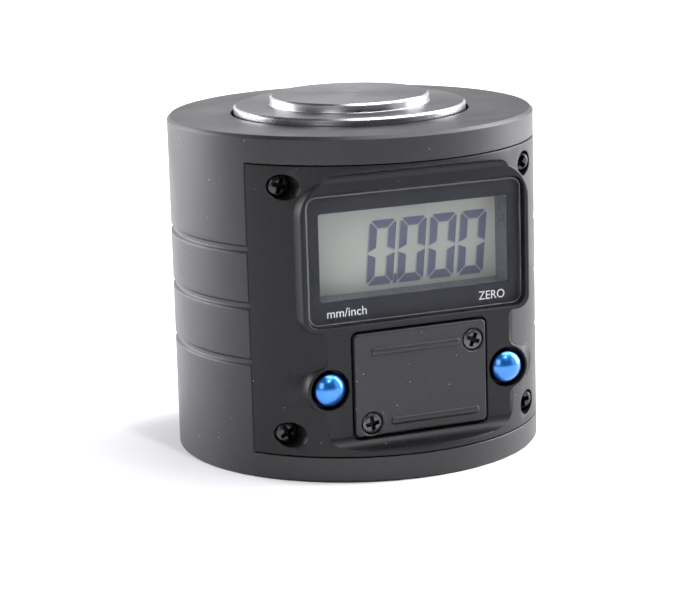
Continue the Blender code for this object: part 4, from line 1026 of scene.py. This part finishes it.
def panel_cutters(sizes, keys, display):
    """Cutters in groups whose members don't touch each other."""
    gap = SEAT_GAP
    mask_seat = MASK_HIGH.y + FIT
    cover_seat = COVER_HIGH.y + gap
    back = PANEL_HIGH.y + MM
    mouth = sizes.mouth
    front = PAD_Y - PROUD
    first = [
        seat("window_seat", *face(WINDOW_LOW, WINDOW_HIGH, gap), WINDOW_SEAT_CORNER, mask_seat, mouth),
        seat("cover_seat", *face(COVER_LOW, COVER_HIGH, gap), COVER_SEAT_CORNER, cover_seat, mouth),
    ]
    hole = keys.radius + keys.hole_gap
    for name in KEYS:
        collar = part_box(f"{name}_button")[1].x - middle(f"{name}_button").x + keys.collar_gap
        lip = PAD_Y + KEY_LIP
        first.append(bore("key_hole", [
            (hole + mouth, PAD_Y - MM), (hole + mouth, front), (hole, front + mouth), (hole, lip),
            (collar, lip), (collar, back)], f"{name}_button", 96))
    screws = []
    mouths = []
    for name in PANEL_SCREWS:
        low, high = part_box(name)
        head = (high.z - low.z) / 2 + gap
        floor = PANEL_HIGH.y - 2.0 * MM
        screws.append(bore("screw_bore", [(head, -RADIUS - MM), (head, floor), (SCREW_HOLE, floor),
                                          (SCREW_HOLE, back)], name))
        spot = middle(name)
        mouths.append(ring_mouth("screw_mouth", (spot.x, spot.z), head, SCREW_MOUTH))
    opening = opening_corners(display)
    second = [slab("tunnel", lambda inset: rounded_box(*opening, OPENING_CORNER, inset),
                   [(0, mask_seat - MM), (0, DISPLAY_LOW.y)])]
    cell = middle("battery")
    bay = (CELL_HIGH.x - CELL_LOW.x) / 2 + 0.35 * MM
    second.append(bore("cell_bay", [(bay, cover_seat - MM), (bay, back)], "battery", 96))
    for name in ("upper", "lower"):
        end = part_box(f"cover_screw_{name}")[1].y + 2 * FIT
        second.append(bore("cover_hole", [(SMALL_SCREW_HOLE, cover_seat - MM), (SMALL_SCREW_HOLE, end)],
                           f"cover_screw_{name}", 24))
    third = [
        box("display_pocket", (DISPLAY_LOW.x - FIT, DISPLAY_LOW.y - FIT, DISPLAY_LOW.z - FIT),
            (DISPLAY_HIGH.x + FIT, back, DISPLAY_HIGH.z + FIT)),
        box("contact_room", (CELL_HIGH.x - MM, CELL_LOW.y + MM, cell.z - 1.75 * MM),
            (CELL_HIGH.x + 1.55 * MM, back, cell.z + 1.75 * MM)),
    ]
    return first, screws, mouths, second, third


# Battery cover

def cover_surface(sizes):
    """Plate with a rounded front edge, two ribs fused to it, and a chamfered bore for each screw."""
    low, high = face(COVER_LOW, COVER_HIGH)
    rear_edge = 0.1 * MM
    rows = rounding(sizes.edge, sizes.edge, COVER_FACE)
    rows += [(0, COVER_HIGH.y - rear_edge), (rear_edge, COVER_HIGH.y)]
    cover = slab("cover_shell", lambda inset: rounded_box(low, high, sizes.corner, inset + sizes.trim), rows)
    half = sizes.rib_height / 2
    flare = 0.12 * MM
    mouth = 0.16 * MM
    rib_rows = rounding(sizes.rib_round, sizes.rib_edge, COVER_LOW.y, 5)
    rib_rows += [(0, COVER_FACE - 0.05 * MM), (-flare, COVER_FACE + 0.03 * MM),
                 (-flare, COVER_FACE + 0.4 * MM)]
    starts = {"upper": COVER_LOW.x + 2.55 * MM, "lower": COVER_HIGH.x - 1.35 * MM - sizes.rib_length}
    bores = []
    for name, start in starts.items():
        screw_low, screw_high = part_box(f"cover_screw_{name}")
        screw = middle(f"cover_screw_{name}")
        rib_low = (start, screw.z - half)
        rib_high = (start + sizes.rib_length, screw.z + half)
        rib = slab("rib", lambda inset: rounded_box(rib_low, rib_high, RIB_CORNER, inset), rib_rows)
        combine(cover, "UNION", rib)
        head = (screw_high.z - screw_low.z) / 2 + FIT
        floor = COVER_FACE + 0.75 * MM
        bores.append(bore("cover_bore", [
            (head + mouth, COVER_FACE - MM), (head + mouth, COVER_FACE), (head, COVER_FACE + mouth),
            (head, floor), (SMALL_SCREW_HOLE, floor), (SMALL_SCREW_HOLE, COVER_HIGH.y + MM),
        ], f"cover_screw_{name}"))
    return combine(cover, "DIFFERENCE", *bores)


# Window and display

def pane_surface(sizes):
    """Pane with a polished chamfer round its front and a fine break round its back."""
    low, high = face(WINDOW_LOW, WINDOW_HIGH)
    chamfer = sizes.pane_chamfer
    fine = 0.05 * MM
    rows = [(chamfer, WINDOW_LOW.y), (0, WINDOW_LOW.y + chamfer), (0, WINDOW_HIGH.y - fine),
            (fine, WINDOW_HIGH.y)]
    return slab("window_pane", lambda inset: rounded_box(low, high, sizes.pane_corner, inset, 8), rows)


def opening_corners(sizes):
    """Lower and upper corner of the clear opening, as (x, z)."""
    return ((sizes.opening_shift - sizes.opening_half, MASK_LOW.z + sizes.opening_foot),
            (sizes.opening_shift + sizes.opening_half, MASK_HIGH.z - sizes.opening_head))


def painted_rim_highlight_surface(sizes):
    """Painted highlight on the pane's chamfer: a thin pale grey band a hair above it, carried round the
    pane, in place of the bright line that the chamfer catches from the lights.
    """
    low, high = face(WINDOW_LOW, WINDOW_HIGH)
    hair = 0.012 * MM
    inner, outer = sizes.pane_chamfer * 0.95, sizes.pane_chamfer * 0.35
    start, end = WINDOW_LOW.y, WINDOW_LOW.y + sizes.pane_chamfer * 0.6
    loops = [(rounded_box(low, high, sizes.pane_corner, inset, 8), y)
             for inset, y in ((inner, start - hair), (outer, end - hair), (outer, end), (inner, start))]
    return skin("pane_rim", carried(loops), close_rows=True)


def painted_well_light_surface(sizes):
    """Thin grey sheet in the light well between the mask and the display. Its grey, lighter than the panel's
    black, is painted light on the well's walls.
    """
    outer, inner = 0.02 * MM, 0.10 * MM
    gap = 0.03 * MM
    near, far = MASK_HIGH.y + gap, DISPLAY_LOW.y - gap
    low, high = opening_corners(sizes)
    loops = [(rounded_box(low, high, OPENING_CORNER, inset), y)
             for inset, y in ((outer, near), (outer, far), (inner, far), (inner, near))]
    return skin("light_well", carried(loops), close_rows=True)


def mask_surface(sizes):
    """Frame between the pane's outline and the clear opening, carried through its thickness."""
    outer = rounded_box(*face(MASK_LOW, MASK_HIGH), sizes.pane_corner)
    inner = rounded_box(*opening_corners(sizes), OPENING_CORNER)
    loops = [(outer, MASK_LOW.y), (outer, MASK_HIGH.y), (inner, MASK_HIGH.y), (inner, MASK_LOW.y)]
    return skin("mask_frame", carried(loops), close_rows=True)


def digit_segments(sizes, grow):
    """Outlines of a digit's seven segments in its own box: bevelled outer corners and mitred ends that
    leave the gap. Each outline is moved outwards by grow."""
    wide, tall, ink = sizes.digit_width, sizes.digit_height, sizes.stroke + grow
    gap = sizes.segment_gap - grow
    cut = sizes.corner_cut
    half = tall / 2
    waist = 1.6 * gap
    bevel = tall - cut / 2
    top = np.array([
        (cut, tall + grow), (wide - cut, tall + grow), (wide - cut / 2 - gap, bevel + grow),
        (wide - ink - gap, tall - ink), (ink + gap, tall - ink), (cut / 2 + gap, bevel + grow)])
    left = np.array([
        (-grow, tall - cut), (cut / 2 - grow, bevel - gap), (ink, tall - ink - gap),
        (ink, half + ink / 2 + gap), (-grow, half + waist)])
    bar = np.array([
        (gap + ink / 2, half), (ink + gap, half + ink / 2), (wide - ink - gap, half + ink / 2),
        (wide - gap - ink / 2, half), (wide - ink - gap, half - ink / 2), (ink + gap, half - ink / 2)])
    right = (wide, 0.0) + np.array([-1.0, 1.0]) * left
    below = {mark: (0.0, tall) + np.array([1.0, -1.0]) * part
             for mark, part in (("c", right), ("d", top), ("e", left))}
    return {"a": top, "b": right, "f": left, "g": bar, **below}


LIT = {"0": "abcdef", "1": "bc", "2": "abdeg", "3": "abcdg", "4": "bcfg", "5": "acdfg", "6": "acdefg",
       "7": "abc", "8": "abcdefg", "9": "abcdfg"}


def reading_surface(name, sizes, grow, front, thickness, shift=(0.0, 0.0)):
    """Lit segments of the reading as thin prisms, leaning with their height."""
    foot = MASK_LOW.z + sizes.opening_foot + sizes.digit_foot
    count = sum(mark in LIT for mark in sizes.reading)
    place_x = sizes.opening_half - sizes.digit_margin - sizes.digit_width - (count - 1) * sizes.digit_pitch
    segments = digit_segments(sizes, grow)
    dot = sizes.point_width
    wide, tall = dot + grow, 3 * dot + grow
    point = np.array([(-grow, -grow), (wide, -grow), (wide, tall), (-grow, tall)])
    prisms = []
    for mark in sizes.reading:
        if mark in LIT:
            outlines = [segments[key] + (place_x, 0.0) for key in LIT[mark]]
            place_x += sizes.digit_pitch
        else:
            between = (sizes.digit_pitch - sizes.digit_width + dot) / 2
            outlines = [point + (place_x - between, 0.0)]
        for outline in outlines:
            outline[:, 0] += (outline[:, 1] - sizes.digit_height / 2) * math.tan(sizes.lean)
            outline += (shift[0], foot + shift[1])
            prisms.append(slab("segment", lambda inset, points=outline: points,
                               [(0, front), (0, front + thickness)]))
    return joined(name, prisms)


INK = 0.02 * MM                 # thickness of printed ink


def legend(name, words, low, high, front):
    """Printed words fitted between two corners on a plane that faces -Y."""
    text = bpy.data.curves.new(name, "FONT")
    text.body = words
    text.resolution_u = 6
    text.extrude = 0.01     # any thickness: the placing below scales it
    holder = new_object(f"{name}_text", text)
    mesh = bpy.data.meshes.new_from_object(holder.evaluated_get(bpy.context.evaluated_depsgraph_get()))
    bpy.data.objects.remove(holder, do_unlink=True)
    points = np.empty(len(mesh.vertices) * 3, np.float32)
    mesh.vertices.foreach_get("co", points)
    points = points.reshape(-1, 3).astype(float)
    first = points.min(0)
    span = points.max(0) - first
    share = (points - first) / span
    placed = np.stack([low[0] + share[:, 0] * (high[0] - low[0]), front + (1 - share[:, 2]) * INK,
                       low[1] + share[:, 1] * (high[1] - low[1])], axis=1)
    mesh.vertices.foreach_set("co", placed.astype(np.float32).ravel())
    mesh.update()
    return tidy_mesh(new_object(name, mesh), 0.0)


# Screws and keys

def cross_outline(span, arm):
    """Cross with eased inner and outer corners; span and arm are full sizes."""
    long, short = span / 2, arm / 2
    inner, outer = short * 0.35, short * 0.3
    corners = []
    for turn in range(4):
        c, s = math.cos(turn * math.pi / 2), math.sin(turn * math.pi / 2)
        for x, z, radius in ((long, -short, outer), (long, short, outer), (short, short, inner)):
            corners.append((x * c - z * s, x * s + z * c, radius))
    return eased(corners, 2)


CROWN_START = 0.45              # share of a head's radius at which its crown starts to round over


def paint_recess_shade(screw, head, crown):
    """Write how far each point lies inside the cross, as the share of painted shade that darkens it there:
    its depth below the crown crown * (1 - sqrt(1 - s^2)), where s runs from 0 where the crown starts to 1 at
    the head's rim."""
    mesh = screw.data
    points = np.empty(len(mesh.vertices) * 3, np.float32)
    mesh.vertices.foreach_get("co", points)
    x, y, z = points.reshape(-1, 3).T
    away = np.hypot(x, z)
    share = np.clip((away / head - CROWN_START) / (1 - CROWN_START), 0, 1)
    surface = crown * (1 - np.sqrt(1 - share ** 2))
    deep = np.clip((y - surface - 0.04 * MM) / (0.10 * MM), 0, 1) * (away < 0.85 * head)
    mesh.attributes.new("recess", "FLOAT", "POINT").data.foreach_set("value", deep.astype(np.float32))


def screw_surface(name, sizes, node_name, head_height, tilt, sunk=False, vertical=False):
    """Turned screw with a crowned or sunk head, and a tapered cross recess sunk into its face."""
    low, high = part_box(node_name)
    spot = (low + high) / 2
    head = (high.x - low.x) / 2 if vertical else (high.z - low.z) / 2
    reach = high.z - low.z if vertical else high.y - low.y
    shank = 0.7 * MM if head < 1.5 * MM else 0.85 * MM
    crown = sizes.crown * head_height
    if sunk:
        profile = [(0, 0), (head - 0.05 * MM, 0), (head, 0.05 * MM), (shank, head_height)]
    else:
        share = np.linspace(0, 1, 7)
        profile = [(0, 0), (head * 0.30, 0.0)]
        profile += [(head * (CROWN_START + (1 - CROWN_START) * math.sin(t * math.pi / 2)),
                     crown * (1 - math.cos(t * math.pi / 2))) for t in share]
        profile += [(head, head_height), (shank, head_height)]
    profile += [(shank, reach - 0.3 * MM), (shank * 0.6, reach), (0, reach)]
    screw = turned(name, profile, 64, about=(0, 0))
    span, arm = sizes.cross_span * 2 * head, sizes.cross_arm * 2 * head
    depth = head_height * 0.85
    grid = []
    for y, scale in ((-0.2 * MM, 1.12), (0.0, 1.10), (0.06 * MM, 1.0), (depth, 0.80)):
        points = cross_outline(span * scale, arm * (0.5 + 0.5 * scale))
        grid.append(np.insert(points, 1, y, axis=1))
    combine(screw, "DIFFERENCE", skin("cross", np.stack(grid), caps=True))
    paint_recess_shade(screw, head, 0.0 if sunk else crown)
    move = Matrix.Translation((spot.x, low.y, spot.z)) @ Matrix.Rotation(tilt, 4, "Y")
    if vertical:
        move = Matrix.Translation((spot.x, spot.y, low.z)) @ Matrix.Rotation(math.pi / 2, 4, "X")
    screw.data.transform(move)
    return shade(screw)


def key_surface(name, sizes):
    """Button: a spherical dome above its cap, a collar and a stem, turned about its own axis."""
    low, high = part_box(f"{name}_button")
    spot = (low + high) / 2
    collar = high.x - spot.x
    ball = (sizes.radius ** 2 + sizes.dome ** 2) / (2 * sizes.dome)
    sweep = math.asin(sizes.radius / ball)
    front = low.y
    profile = [(ball * math.sin(t), front + ball * (1 - math.cos(t))) for t in np.linspace(0, sweep, 28)]
    seat_y = PAD_Y + KEY_LIP + FIT
    collar_end = seat_y + 0.95 * MM
    stem = 1.3 * MM
    profile += [(sizes.radius, seat_y), (collar, seat_y), (collar, collar_end), (stem, collar_end),
                (stem, high.y), (0, high.y)]
    return shade(turned(f"{name}_key", profile, 128, about=(spot.x, spot.z)))


def spring_surface(name, radius, wire, turns, low, high):
    """Round wire carried up a helix: centre (r cos t, r sin t, climb), with closely wound ends."""
    steps = np.linspace(0, 1, turns * 36 + 1)
    angle = steps * turns * TURN
    climb = low + wire + (high - low - 2 * wire) * (0.88 * steps + 0.12 * steps ** 2 * (3 - 2 * steps))
    outward = np.stack([np.cos(angle), np.sin(angle), np.zeros_like(angle)], axis=1)
    centre = outward * radius
    centre[:, 2] = climb
    round_wire = np.arange(12) * TURN / 12
    up = np.array([0.0, 0.0, 1.0])
    grid = centre[:, None] + wire * (np.cos(round_wire)[:, None] * outward[:, None]
                                     + np.sin(round_wire)[:, None] * up)
    return shade(skin(name, grid, caps=True), math.radians(50))


class PieceOperator:
    """What every operator of the presetter shares."""
    bl_options = {"REGISTER", "UNDO"}

    def execute(self, context):
        self.build(context.scene)
        return {"FINISHED"}


class PRESETTER_OT_casing(PieceOperator, bpy.types.Operator):
    """Build the turned casing with its grooves, well and seat for the panel"""
    bl_idname = "presetter.casing"
    bl_label = "Casing"

    def build(self, scene):
        shell = carve_casing(casing_surface(scene.casing_sizes))
        look = satin("casing_black", scene.finishes.casing, 0.42, 0.20, 0.011 * MM, 0.32)
        place(shade(shell), "casing", "casing_black", look, "body")


class PRESETTER_OT_front_panel(PieceOperator, bpy.types.Operator):
    """Build the front panel with its pad, bezel, bosses, seats and holes"""
    bl_idname = "presetter.front_panel"
    bl_label = "Front panel"

    def build(self, scene):
        sizes, keys = scene.panel_sizes, scene.key_sizes
        panel = panel_surface(sizes)
        plate, roots = panel_additions(sizes, keys)
        combine(panel, "UNION", plate)
        combine(panel, "UNION", *roots)
        for group in panel_cutters(sizes, keys, scene.display_sizes):
            combine(panel, "DIFFERENCE", *group)
        look = satin("panel_black", scene.finishes.panel, 0.42, 0.18, 0.009 * MM, 0.42, 0.28)
        place(shade(panel), "casing", "panel_black", look, "front_panel")


class PRESETTER_OT_base(PieceOperator, bpy.types.Operator):
    """Build the steel base plate with its countersinks and spring spigot"""
    bl_idname = "presetter.base"
    bl_label = "Base plate"

    def build(self, scene):
        radius = BASE_HIGH.x
        thick = PLATE_THICKNESS
        spigot = 1.05 * MM
        profile = eased([
            (0, 0), (radius, 0, 0.2 * MM), (radius, thick, 0.15 * MM), (spigot, thick),
            (spigot, BASE_HIGH.z, 0.25 * MM), (0, BASE_HIGH.z),
        ], 4, closed=False)
        plate = turned("foot_plate", profile, 256)
        sinks = []
        for name in BASE_SCREWS:
            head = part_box(name)[1].x - middle(name).x + SEAT_GAP
            sinks.append(bore("sink", [(head, -MM), (head, 0), (SCREW_HOLE, SCREW_HEAD + SEAT_GAP),
                                       (SCREW_HOLE, thick + MM)], name, 48, upright=True))
        combine(plate, "DIFFERENCE", *sinks)
        look = metal("ground_plate", (0.42, 0.42, 0.43), 0.3, pitch=0.25, relief=0.004 * MM, anisotropic=0.3)
        place(shade(plate), "casing", "ground_steel", look, "base_plate")


class PRESETTER_OT_anvil(PieceOperator, bpy.types.Operator):
    """Build the stepped anvil with its bright chamfers"""
    bl_idname = "presetter.anvil"
    bl_label = "Anvil"

    def build(self, scene):
        sizes = scene.anvil_sizes
        flange, top, foot = ANVIL_HIGH.x, ANVIL_HIGH.z, ANVIL_LOW.z
        step = top - sizes.disc_step
        edge = sizes.chamfer
        fine = 0.04 * MM
        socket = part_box("spindle")[1].x + FIT
        disc = sizes.disc_radius
        profile = eased([
            (0, top), (disc - edge, top, fine), (disc, top - edge, fine), (disc, step, 0.12 * MM),
            (flange - edge, step, fine), (flange, step - edge, fine), (flange, foot + edge, fine),
            (flange - edge, foot, fine), (socket, foot), (socket, foot + SOCKET_DEPTH),
            (0, foot + SOCKET_DEPTH),
        ], 3, closed=False)
        anvil = turned("anvil_head", profile, 360)
        look = ground_face_and_wall_sheen_look("ground_steel", scene.finishes.anvil)
        place(shade(anvil), "plunger", "anvil_steel", look, "anvil")


class PRESETTER_OT_window(PieceOperator, bpy.types.Operator):
    """Build the clear pane, the black mask behind it and its printed legends"""
    bl_idname = "presetter.window"
    bl_label = "Window"

    def build(self, scene):
        sizes = scene.display_sizes
        pane = shade(pane_surface(sizes), math.radians(20))
        place(pane, "casing", "window_clear", pane_look("window_clear"), "display_window")
        # Pale grey band over the pane's chamfer: a painted highlight
        rim = print_look("pane_rim", (0.36, 0.36, 0.37), 0.25)
        place(shade(painted_rim_highlight_surface(sizes)), "casing", "window_clear", rim)
        mask = gloss_black_look("window_black", scene.finishes.mask, 0.45)
        place(shade(mask_surface(sizes)), "casing", "window_black", mask, "window_mask")
        # Pale grey sheet over the walls of the light well: painted light on them
        well_light_paint = print_look("light_well", (0.105, 0.110, 0.135), 0.3)
        place(shade(painted_well_light_surface(sizes)), "casing", "window_black", well_light_paint)
        ink = print_look("legend_white", scene.finishes.legend)
        front = MASK_LOW.y - 0.03 * MM
        foot = MASK_LOW.z + LEGEND_FOOT
        for name, (words, left, right) in LEGENDS.items():
            low, high = (left * MM, foot), (right * MM, foot + LEGEND_HEIGHT)
            place(legend(name, words, low, high, front), "casing", "display_grey", ink)


class PRESETTER_OT_display(PieceOperator, bpy.types.Operator):
    """Build the display glass and the segments of its reading"""
    bl_idname = "presetter.display"
    bl_label = "Display"

    def build(self, scene):
        sizes = scene.display_sizes
        low, high = face(DISPLAY_LOW, DISPLAY_HIGH)
        edge = 0.08 * MM
        rows = [(edge, DISPLAY_LOW.y), (0, DISPLAY_LOW.y + edge), (0, DISPLAY_HIGH.y - edge),
                (edge, DISPLAY_HIGH.y)]
        glass = slab("display_glass", lambda inset: rounded_box(low, high, 0.3 * MM, inset), rows)
        look = display_look("display_grey", scene.finishes.display)
        place(shade(glass), "casing", "display_grey", look, "display")
        front = DISPLAY_LOW.y
        ink = print_look("segment_ink", scene.finishes.digits, 0.45, 0.10)
        # Painted shadow of the segments: a paler, wider copy of the reading set just behind it, moved left
        # and down
        tints = zip(scene.finishes.digits, scene.finishes.display)
        soft = [dark * 0.45 + pale * 0.55 for dark, pale in tints]
        shadow = print_look("segment_shadow", soft, 0.5, 0.05)
        painted_segment_shadow = reading_surface("reading_shadow", sizes, 0.10 * MM, front - 0.02 * MM, 0.01 * MM,
                               (-0.12 * MM, -0.06 * MM))
        place(painted_segment_shadow, "casing", "display_grey", shadow)
        lit = reading_surface("reading", sizes, 0.0, front - 0.05 * MM, 0.02 * MM)
        place(lit, "casing", "display_grey", ink)


class PRESETTER_OT_battery_cover(PieceOperator, bpy.types.Operator):
    """Build the battery cover with its ribs and screw bores"""
    bl_idname = "presetter.battery_cover"
    bl_label = "Battery cover"

    def build(self, scene):
        cover = cover_surface(scene.cover_sizes)
        look = satin("cover_black", scene.finishes.cover, 0.40, 0.18, 0.009 * MM, 0.45, 0.40)
        place(shade(cover), "casing", "panel_black", look, "battery_cover")


class PRESETTER_OT_keys(PieceOperator, bpy.types.Operator):
    """Build the two domed blue buttons"""
    bl_idname = "presetter.keys"
    bl_label = "Keys"

    def build(self, scene):
        look = lacquer_look("button_blue", scene.finishes.key)
        for name in KEYS:
            place(key_surface(name, scene.key_sizes), f"{name}_key", "button_blue", look, f"{name}_button")


class PRESETTER_OT_screws(PieceOperator, bpy.types.Operator):
    """Build every cross-head screw that shows"""
    bl_idname = "presetter.screws"
    bl_label = "Screws"

    def build(self, scene):
        sizes = scene.screw_sizes
        black = metal("screw_black", (0.060, 0.060, 0.062), 0.34, grain=0.10, relief=0.003 * MM, recess=True)
        nickel = metal("screw_nickel", (0.10, 0.10, 0.105), 0.36, grain=0.10, relief=0.003 * MM, recess=True)
        for number, name in enumerate(PANEL_SCREWS, 1):
            screw = screw_surface(f"panel_fixing_{number}", sizes, name, SCREW_HEAD,
                                  math.radians(20 * number))
            place(screw, "casing", "screw_black", black, name)
        for name, tilt in (("upper", 25), ("lower", 80)):
            screw = screw_surface(f"cover_fixing_{name}", sizes, f"cover_screw_{name}", SMALL_SCREW_HEAD,
                                  math.radians(tilt))
            place(screw, "casing", "screw_nickel", nickel, f"cover_screw_{name}")
        for number, name in enumerate(BASE_SCREWS, 1):
            screw = screw_surface(f"base_fixing_{number}", sizes, name, SCREW_HEAD, 0.0,
                                  sunk=True, vertical=True)
            place(screw, "casing", "screw_nickel", nickel, name)


class PRESETTER_OT_return_spring(PieceOperator, bpy.types.Operator):
    """Build the return spring as one fixed coil, though the real spring shortens as the anvil is pressed"""
    bl_idname = "presetter.return_spring"
    bl_label = "Return spring"

    def build(self, scene):
        low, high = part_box("return_spring")
        wire = scene.spring_sizes.wire
        coil = spring_surface("spring_coil", high.x - wire, wire, scene.spring_sizes.turns, low.z, high.z)
        settle(coil)
        look = metal("spring_steel", (0.45, 0.45, 0.46), 0.28, grain=0.1)
        place(coil, "casing", "spring_steel", look, "return_spring")
        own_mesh(coil)


class PRESETTER_OT_inner_parts(PieceOperator, bpy.types.Operator):
    """Give the bearings, spindle, board and other hidden pieces their finishes"""
    bl_idname = "presetter.inner_parts"
    bl_label = "Inner parts"

    def build(self, scene):
        bronze = metal("bronze", (0.45, 0.28, 0.11), 0.34, pitch=0.2, relief=0.003 * MM)
        steel = metal("ground_steel_rod", (0.52, 0.52, 0.52), 0.2, pitch=0.15, relief=0.002 * MM)
        dark = metal("blackened_steel", (0.12, 0.12, 0.13), 0.4, pitch=0.2)
        nickel = metal("screw_nickel", (0.10, 0.10, 0.105), 0.36)
        cell = metal("cell_steel", (0.60, 0.60, 0.61), 0.24, grain=0.2, relief=0.002 * MM)
        alloy = metal("carrier_alloy", (0.55, 0.55, 0.56), 0.38, grain=0.25, relief=0.005 * MM)
        rubber = print_look("seal_rubber", (0.018, 0.018, 0.018), 0.75)
        elastomer = print_look("connector_rubber", (0.10, 0.10, 0.11), 0.7)
        chip = print_look("chip_black", (0.010, 0.010, 0.012), 0.35)
        switch = print_look("switch_grey", (0.15, 0.15, 0.16), 0.5)
        looks = {
            bronze: ["lower_bush", "upper_bush"],
            steel: ["guide_pin", "spindle"],
            dark: ["stop_ring", "carrier_screw"],
            nickel: [f"board_screw_{number}" for number in range(1, 5)],
            cell: ["battery", "battery_contact_negative", "battery_contact_positive", "crystal"],
            alloy: ["scale_carrier"],
            rubber: ["spindle_seal"],
            elastomer: ["display_connector_lower", "display_connector_upper"],
            chip: ["processor"],
            switch: ["unit_switch", "zero_switch", "unit_switch_plunger", "zero_switch_plunger"],
            board_look("board_green"): ["circuit_board"],
            scale_look("scale_green"): ["measuring_scale"],
        }
        for look, names in looks.items():
            for name in names:
                part = frame["nodes"][name]
                part.data.materials.clear()
                part.data.materials.append(look)


class PRESETTER_OT_stage(PieceOperator, bpy.types.Operator):
    """Set up the pale floor, the soft lights and the camera"""
    bl_idname = "presetter.stage"
    bl_label = "Stage"

    def build(self, scene):
        stage = scene.stage_settings
        floor_grid = np.array([[(-4, -4, 0), (4, -4, 0)], [(-4, 4, 0), (4, 4, 0)]], float)
        floor = skin("floor", floor_grid, close_columns=False)
        look, tree, shader = blank("floor_pale", Roughness=0.9, Specular_IOR_Level=0.2)
        patches = effect(tree, "handling", Size=400.0)
        pale = blend_colour(tree, patches, (0.86, 0.86, 0.86, 1.0), (0.90, 0.90, 0.90, 1.0))
        tree.links.new(pale, shader.inputs["Base Color"])
        floor.data.materials.append(look)
        self.light_room(scene, stage.sky)
        aim = Vector((0, 0, 25 * MM))
        for name, (where, width, height, share) in SOFT_LIGHTS.items():
            area_light(scene, f"light_{name}", where, aim, width, height, share * stage.light)
        camera = bpy.data.cameras.new("camera")
        camera.lens = stage.lens
        camera.sensor_fit = "HORIZONTAL"
        camera.sensor_width = 36.0
        camera.clip_start = 0.01
        camera.clip_end = 20.0
        holder = bpy.data.objects.new("camera", camera)
        scene.collection.objects.link(holder)
        a, e = stage.azimuth, stage.elevation
        back = Vector((math.sin(a) * math.cos(e), -math.cos(a) * math.cos(e), math.sin(e)))
        holder.location = CAMERA_AIM + back * stage.distance
        turn = (-back).to_track_quat("-Z", "Y").to_matrix().to_4x4()
        holder.rotation_euler = (turn @ Matrix.Rotation(stage.roll, 4, "Z")).to_euler()
        scene.camera = holder
        scene.view_settings.view_transform = "Standard"

    def light_room(self, scene, strength):
        """Room light that is brighter overhead and behind than on the camera's side."""
        world = bpy.data.worlds.new("room")
        world.use_nodes = True
        scene.world = world
        tree = world.node_tree
        where = node(tree, "ShaderNodeSeparateXYZ", {},
                     {0: tree.nodes.new("ShaderNodeTexCoord").outputs["Generated"]})
        behind = spread(tree, where.outputs[1], -0.6, 0.7, 0.45, 1.0)
        ground = tree.nodes["Background"]
        tree.links.new(maths(tree, "MULTIPLY", behind, strength), ground.inputs["Strength"])
        ground.inputs["Color"].default_value = (1.0, 1.0, 1.0, 1.0)


CAMERA_AIM = Vector((-0.63 * MM, 0.27 * MM, 19.49 * MM))
SOFT_COLOUR = (0.965, 0.970, 1.0)

# Soft lights: place, width, height and watts
SOFT_LIGHTS = {
    "top": ((0.22, -0.10, 0.78), 0.5, 0.5, 4.2),
    "right": ((0.80, 0.0, 0.40), 0.6, 0.9, 16.5),
    "spark": ((0.05, -0.52, 0.66), 0.06, 0.06, 1.4),
    "right_back": ((0.60, 0.65, 0.25), 0.7, 0.7, 1.17),
    "left_back": ((-0.60, 0.65, 0.25), 0.7, 0.7, 14.5),
    "back": ((0.0, 0.95, 0.25), 0.8, 0.5, 1.4),
    "front_left": ((-0.75, -0.65, 0.45), 0.4, 0.6, 2.3),
    "front_right": ((0.75, -0.65, 0.35), 0.4, 0.6, 0.8),
}


def area_light(scene, name, where, aim, width, height, watts):
    """Rectangular soft light that faces the aim."""
    light = bpy.data.lights.new(name, "AREA")
    light.shape = "RECTANGLE"
    light.size, light.size_y = width, height
    light.energy = watts
    light.color = SOFT_COLOUR
    # The smallest light is kept from speckling what lies behind the pane
    light.cycles.max_bounces = 1 if name == "light_spark" else 8
    holder = bpy.data.objects.new(name, light)
    scene.collection.objects.link(holder)
    holder.location = where
    holder.rotation_euler = (aim - Vector(where)).to_track_quat("-Z", "Y").to_euler()


class PRESETTER_PT_pieces(bpy.types.Panel):
    """Lists the presetter's pieces"""
    bl_idname = "PRESETTER_PT_pieces"
    bl_label = "Height presetter"
    bl_space_type = "VIEW_3D"
    bl_region_type = "UI"
    bl_category = "Presetter"

    def draw(self, context):
        for operator in OPERATORS:
            self.layout.operator(operator.bl_idname)


OPERATORS = (
    PRESETTER_OT_casing, PRESETTER_OT_front_panel, PRESETTER_OT_base, PRESETTER_OT_anvil,
    PRESETTER_OT_window, PRESETTER_OT_display, PRESETTER_OT_battery_cover, PRESETTER_OT_keys,
    PRESETTER_OT_screws, PRESETTER_OT_return_spring, PRESETTER_OT_inner_parts, PRESETTER_OT_stage,
)
SETTINGS = {
    "casing_sizes": CasingSizes, "panel_sizes": PanelSizes, "cover_sizes": CoverSizes,
    "anvil_sizes": AnvilSizes, "display_sizes": DisplaySizes, "key_sizes": KeySizes,
    "screw_sizes": ScrewSizes, "spring_sizes": SpringSizes, "finishes": Finishes,
    "stage_settings": StageSettings,
}


def register():
    for settings in SETTINGS.values():
        bpy.utils.register_class(settings)
    for operator in OPERATORS:
        bpy.utils.register_class(operator)
    bpy.utils.register_class(PRESETTER_PT_pieces)
    for name, settings in SETTINGS.items():
        setattr(bpy.types.Scene, name, PointerProperty(type=settings))


def unregister():
    for name in SETTINGS:
        delattr(bpy.types.Scene, name)
    bpy.utils.unregister_class(PRESETTER_PT_pieces)
    for operator in reversed(OPERATORS):
        bpy.utils.unregister_class(operator)
    for settings in reversed(SETTINGS.values()):
        bpy.utils.unregister_class(settings)


def main():
    """Register the add-on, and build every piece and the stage."""
    for old in [o for o in bpy.data.objects if o.type in {"CAMERA", "LIGHT"} or o.name == "Cube"]:
        bpy.data.objects.remove(old, do_unlink=True)
    register()
    build_groups()
    for operator in OPERATORS:
        group, name = operator.bl_idname.split(".")
        getattr(getattr(bpy.ops, group), name)()


if __name__ == "__main__":
    main()
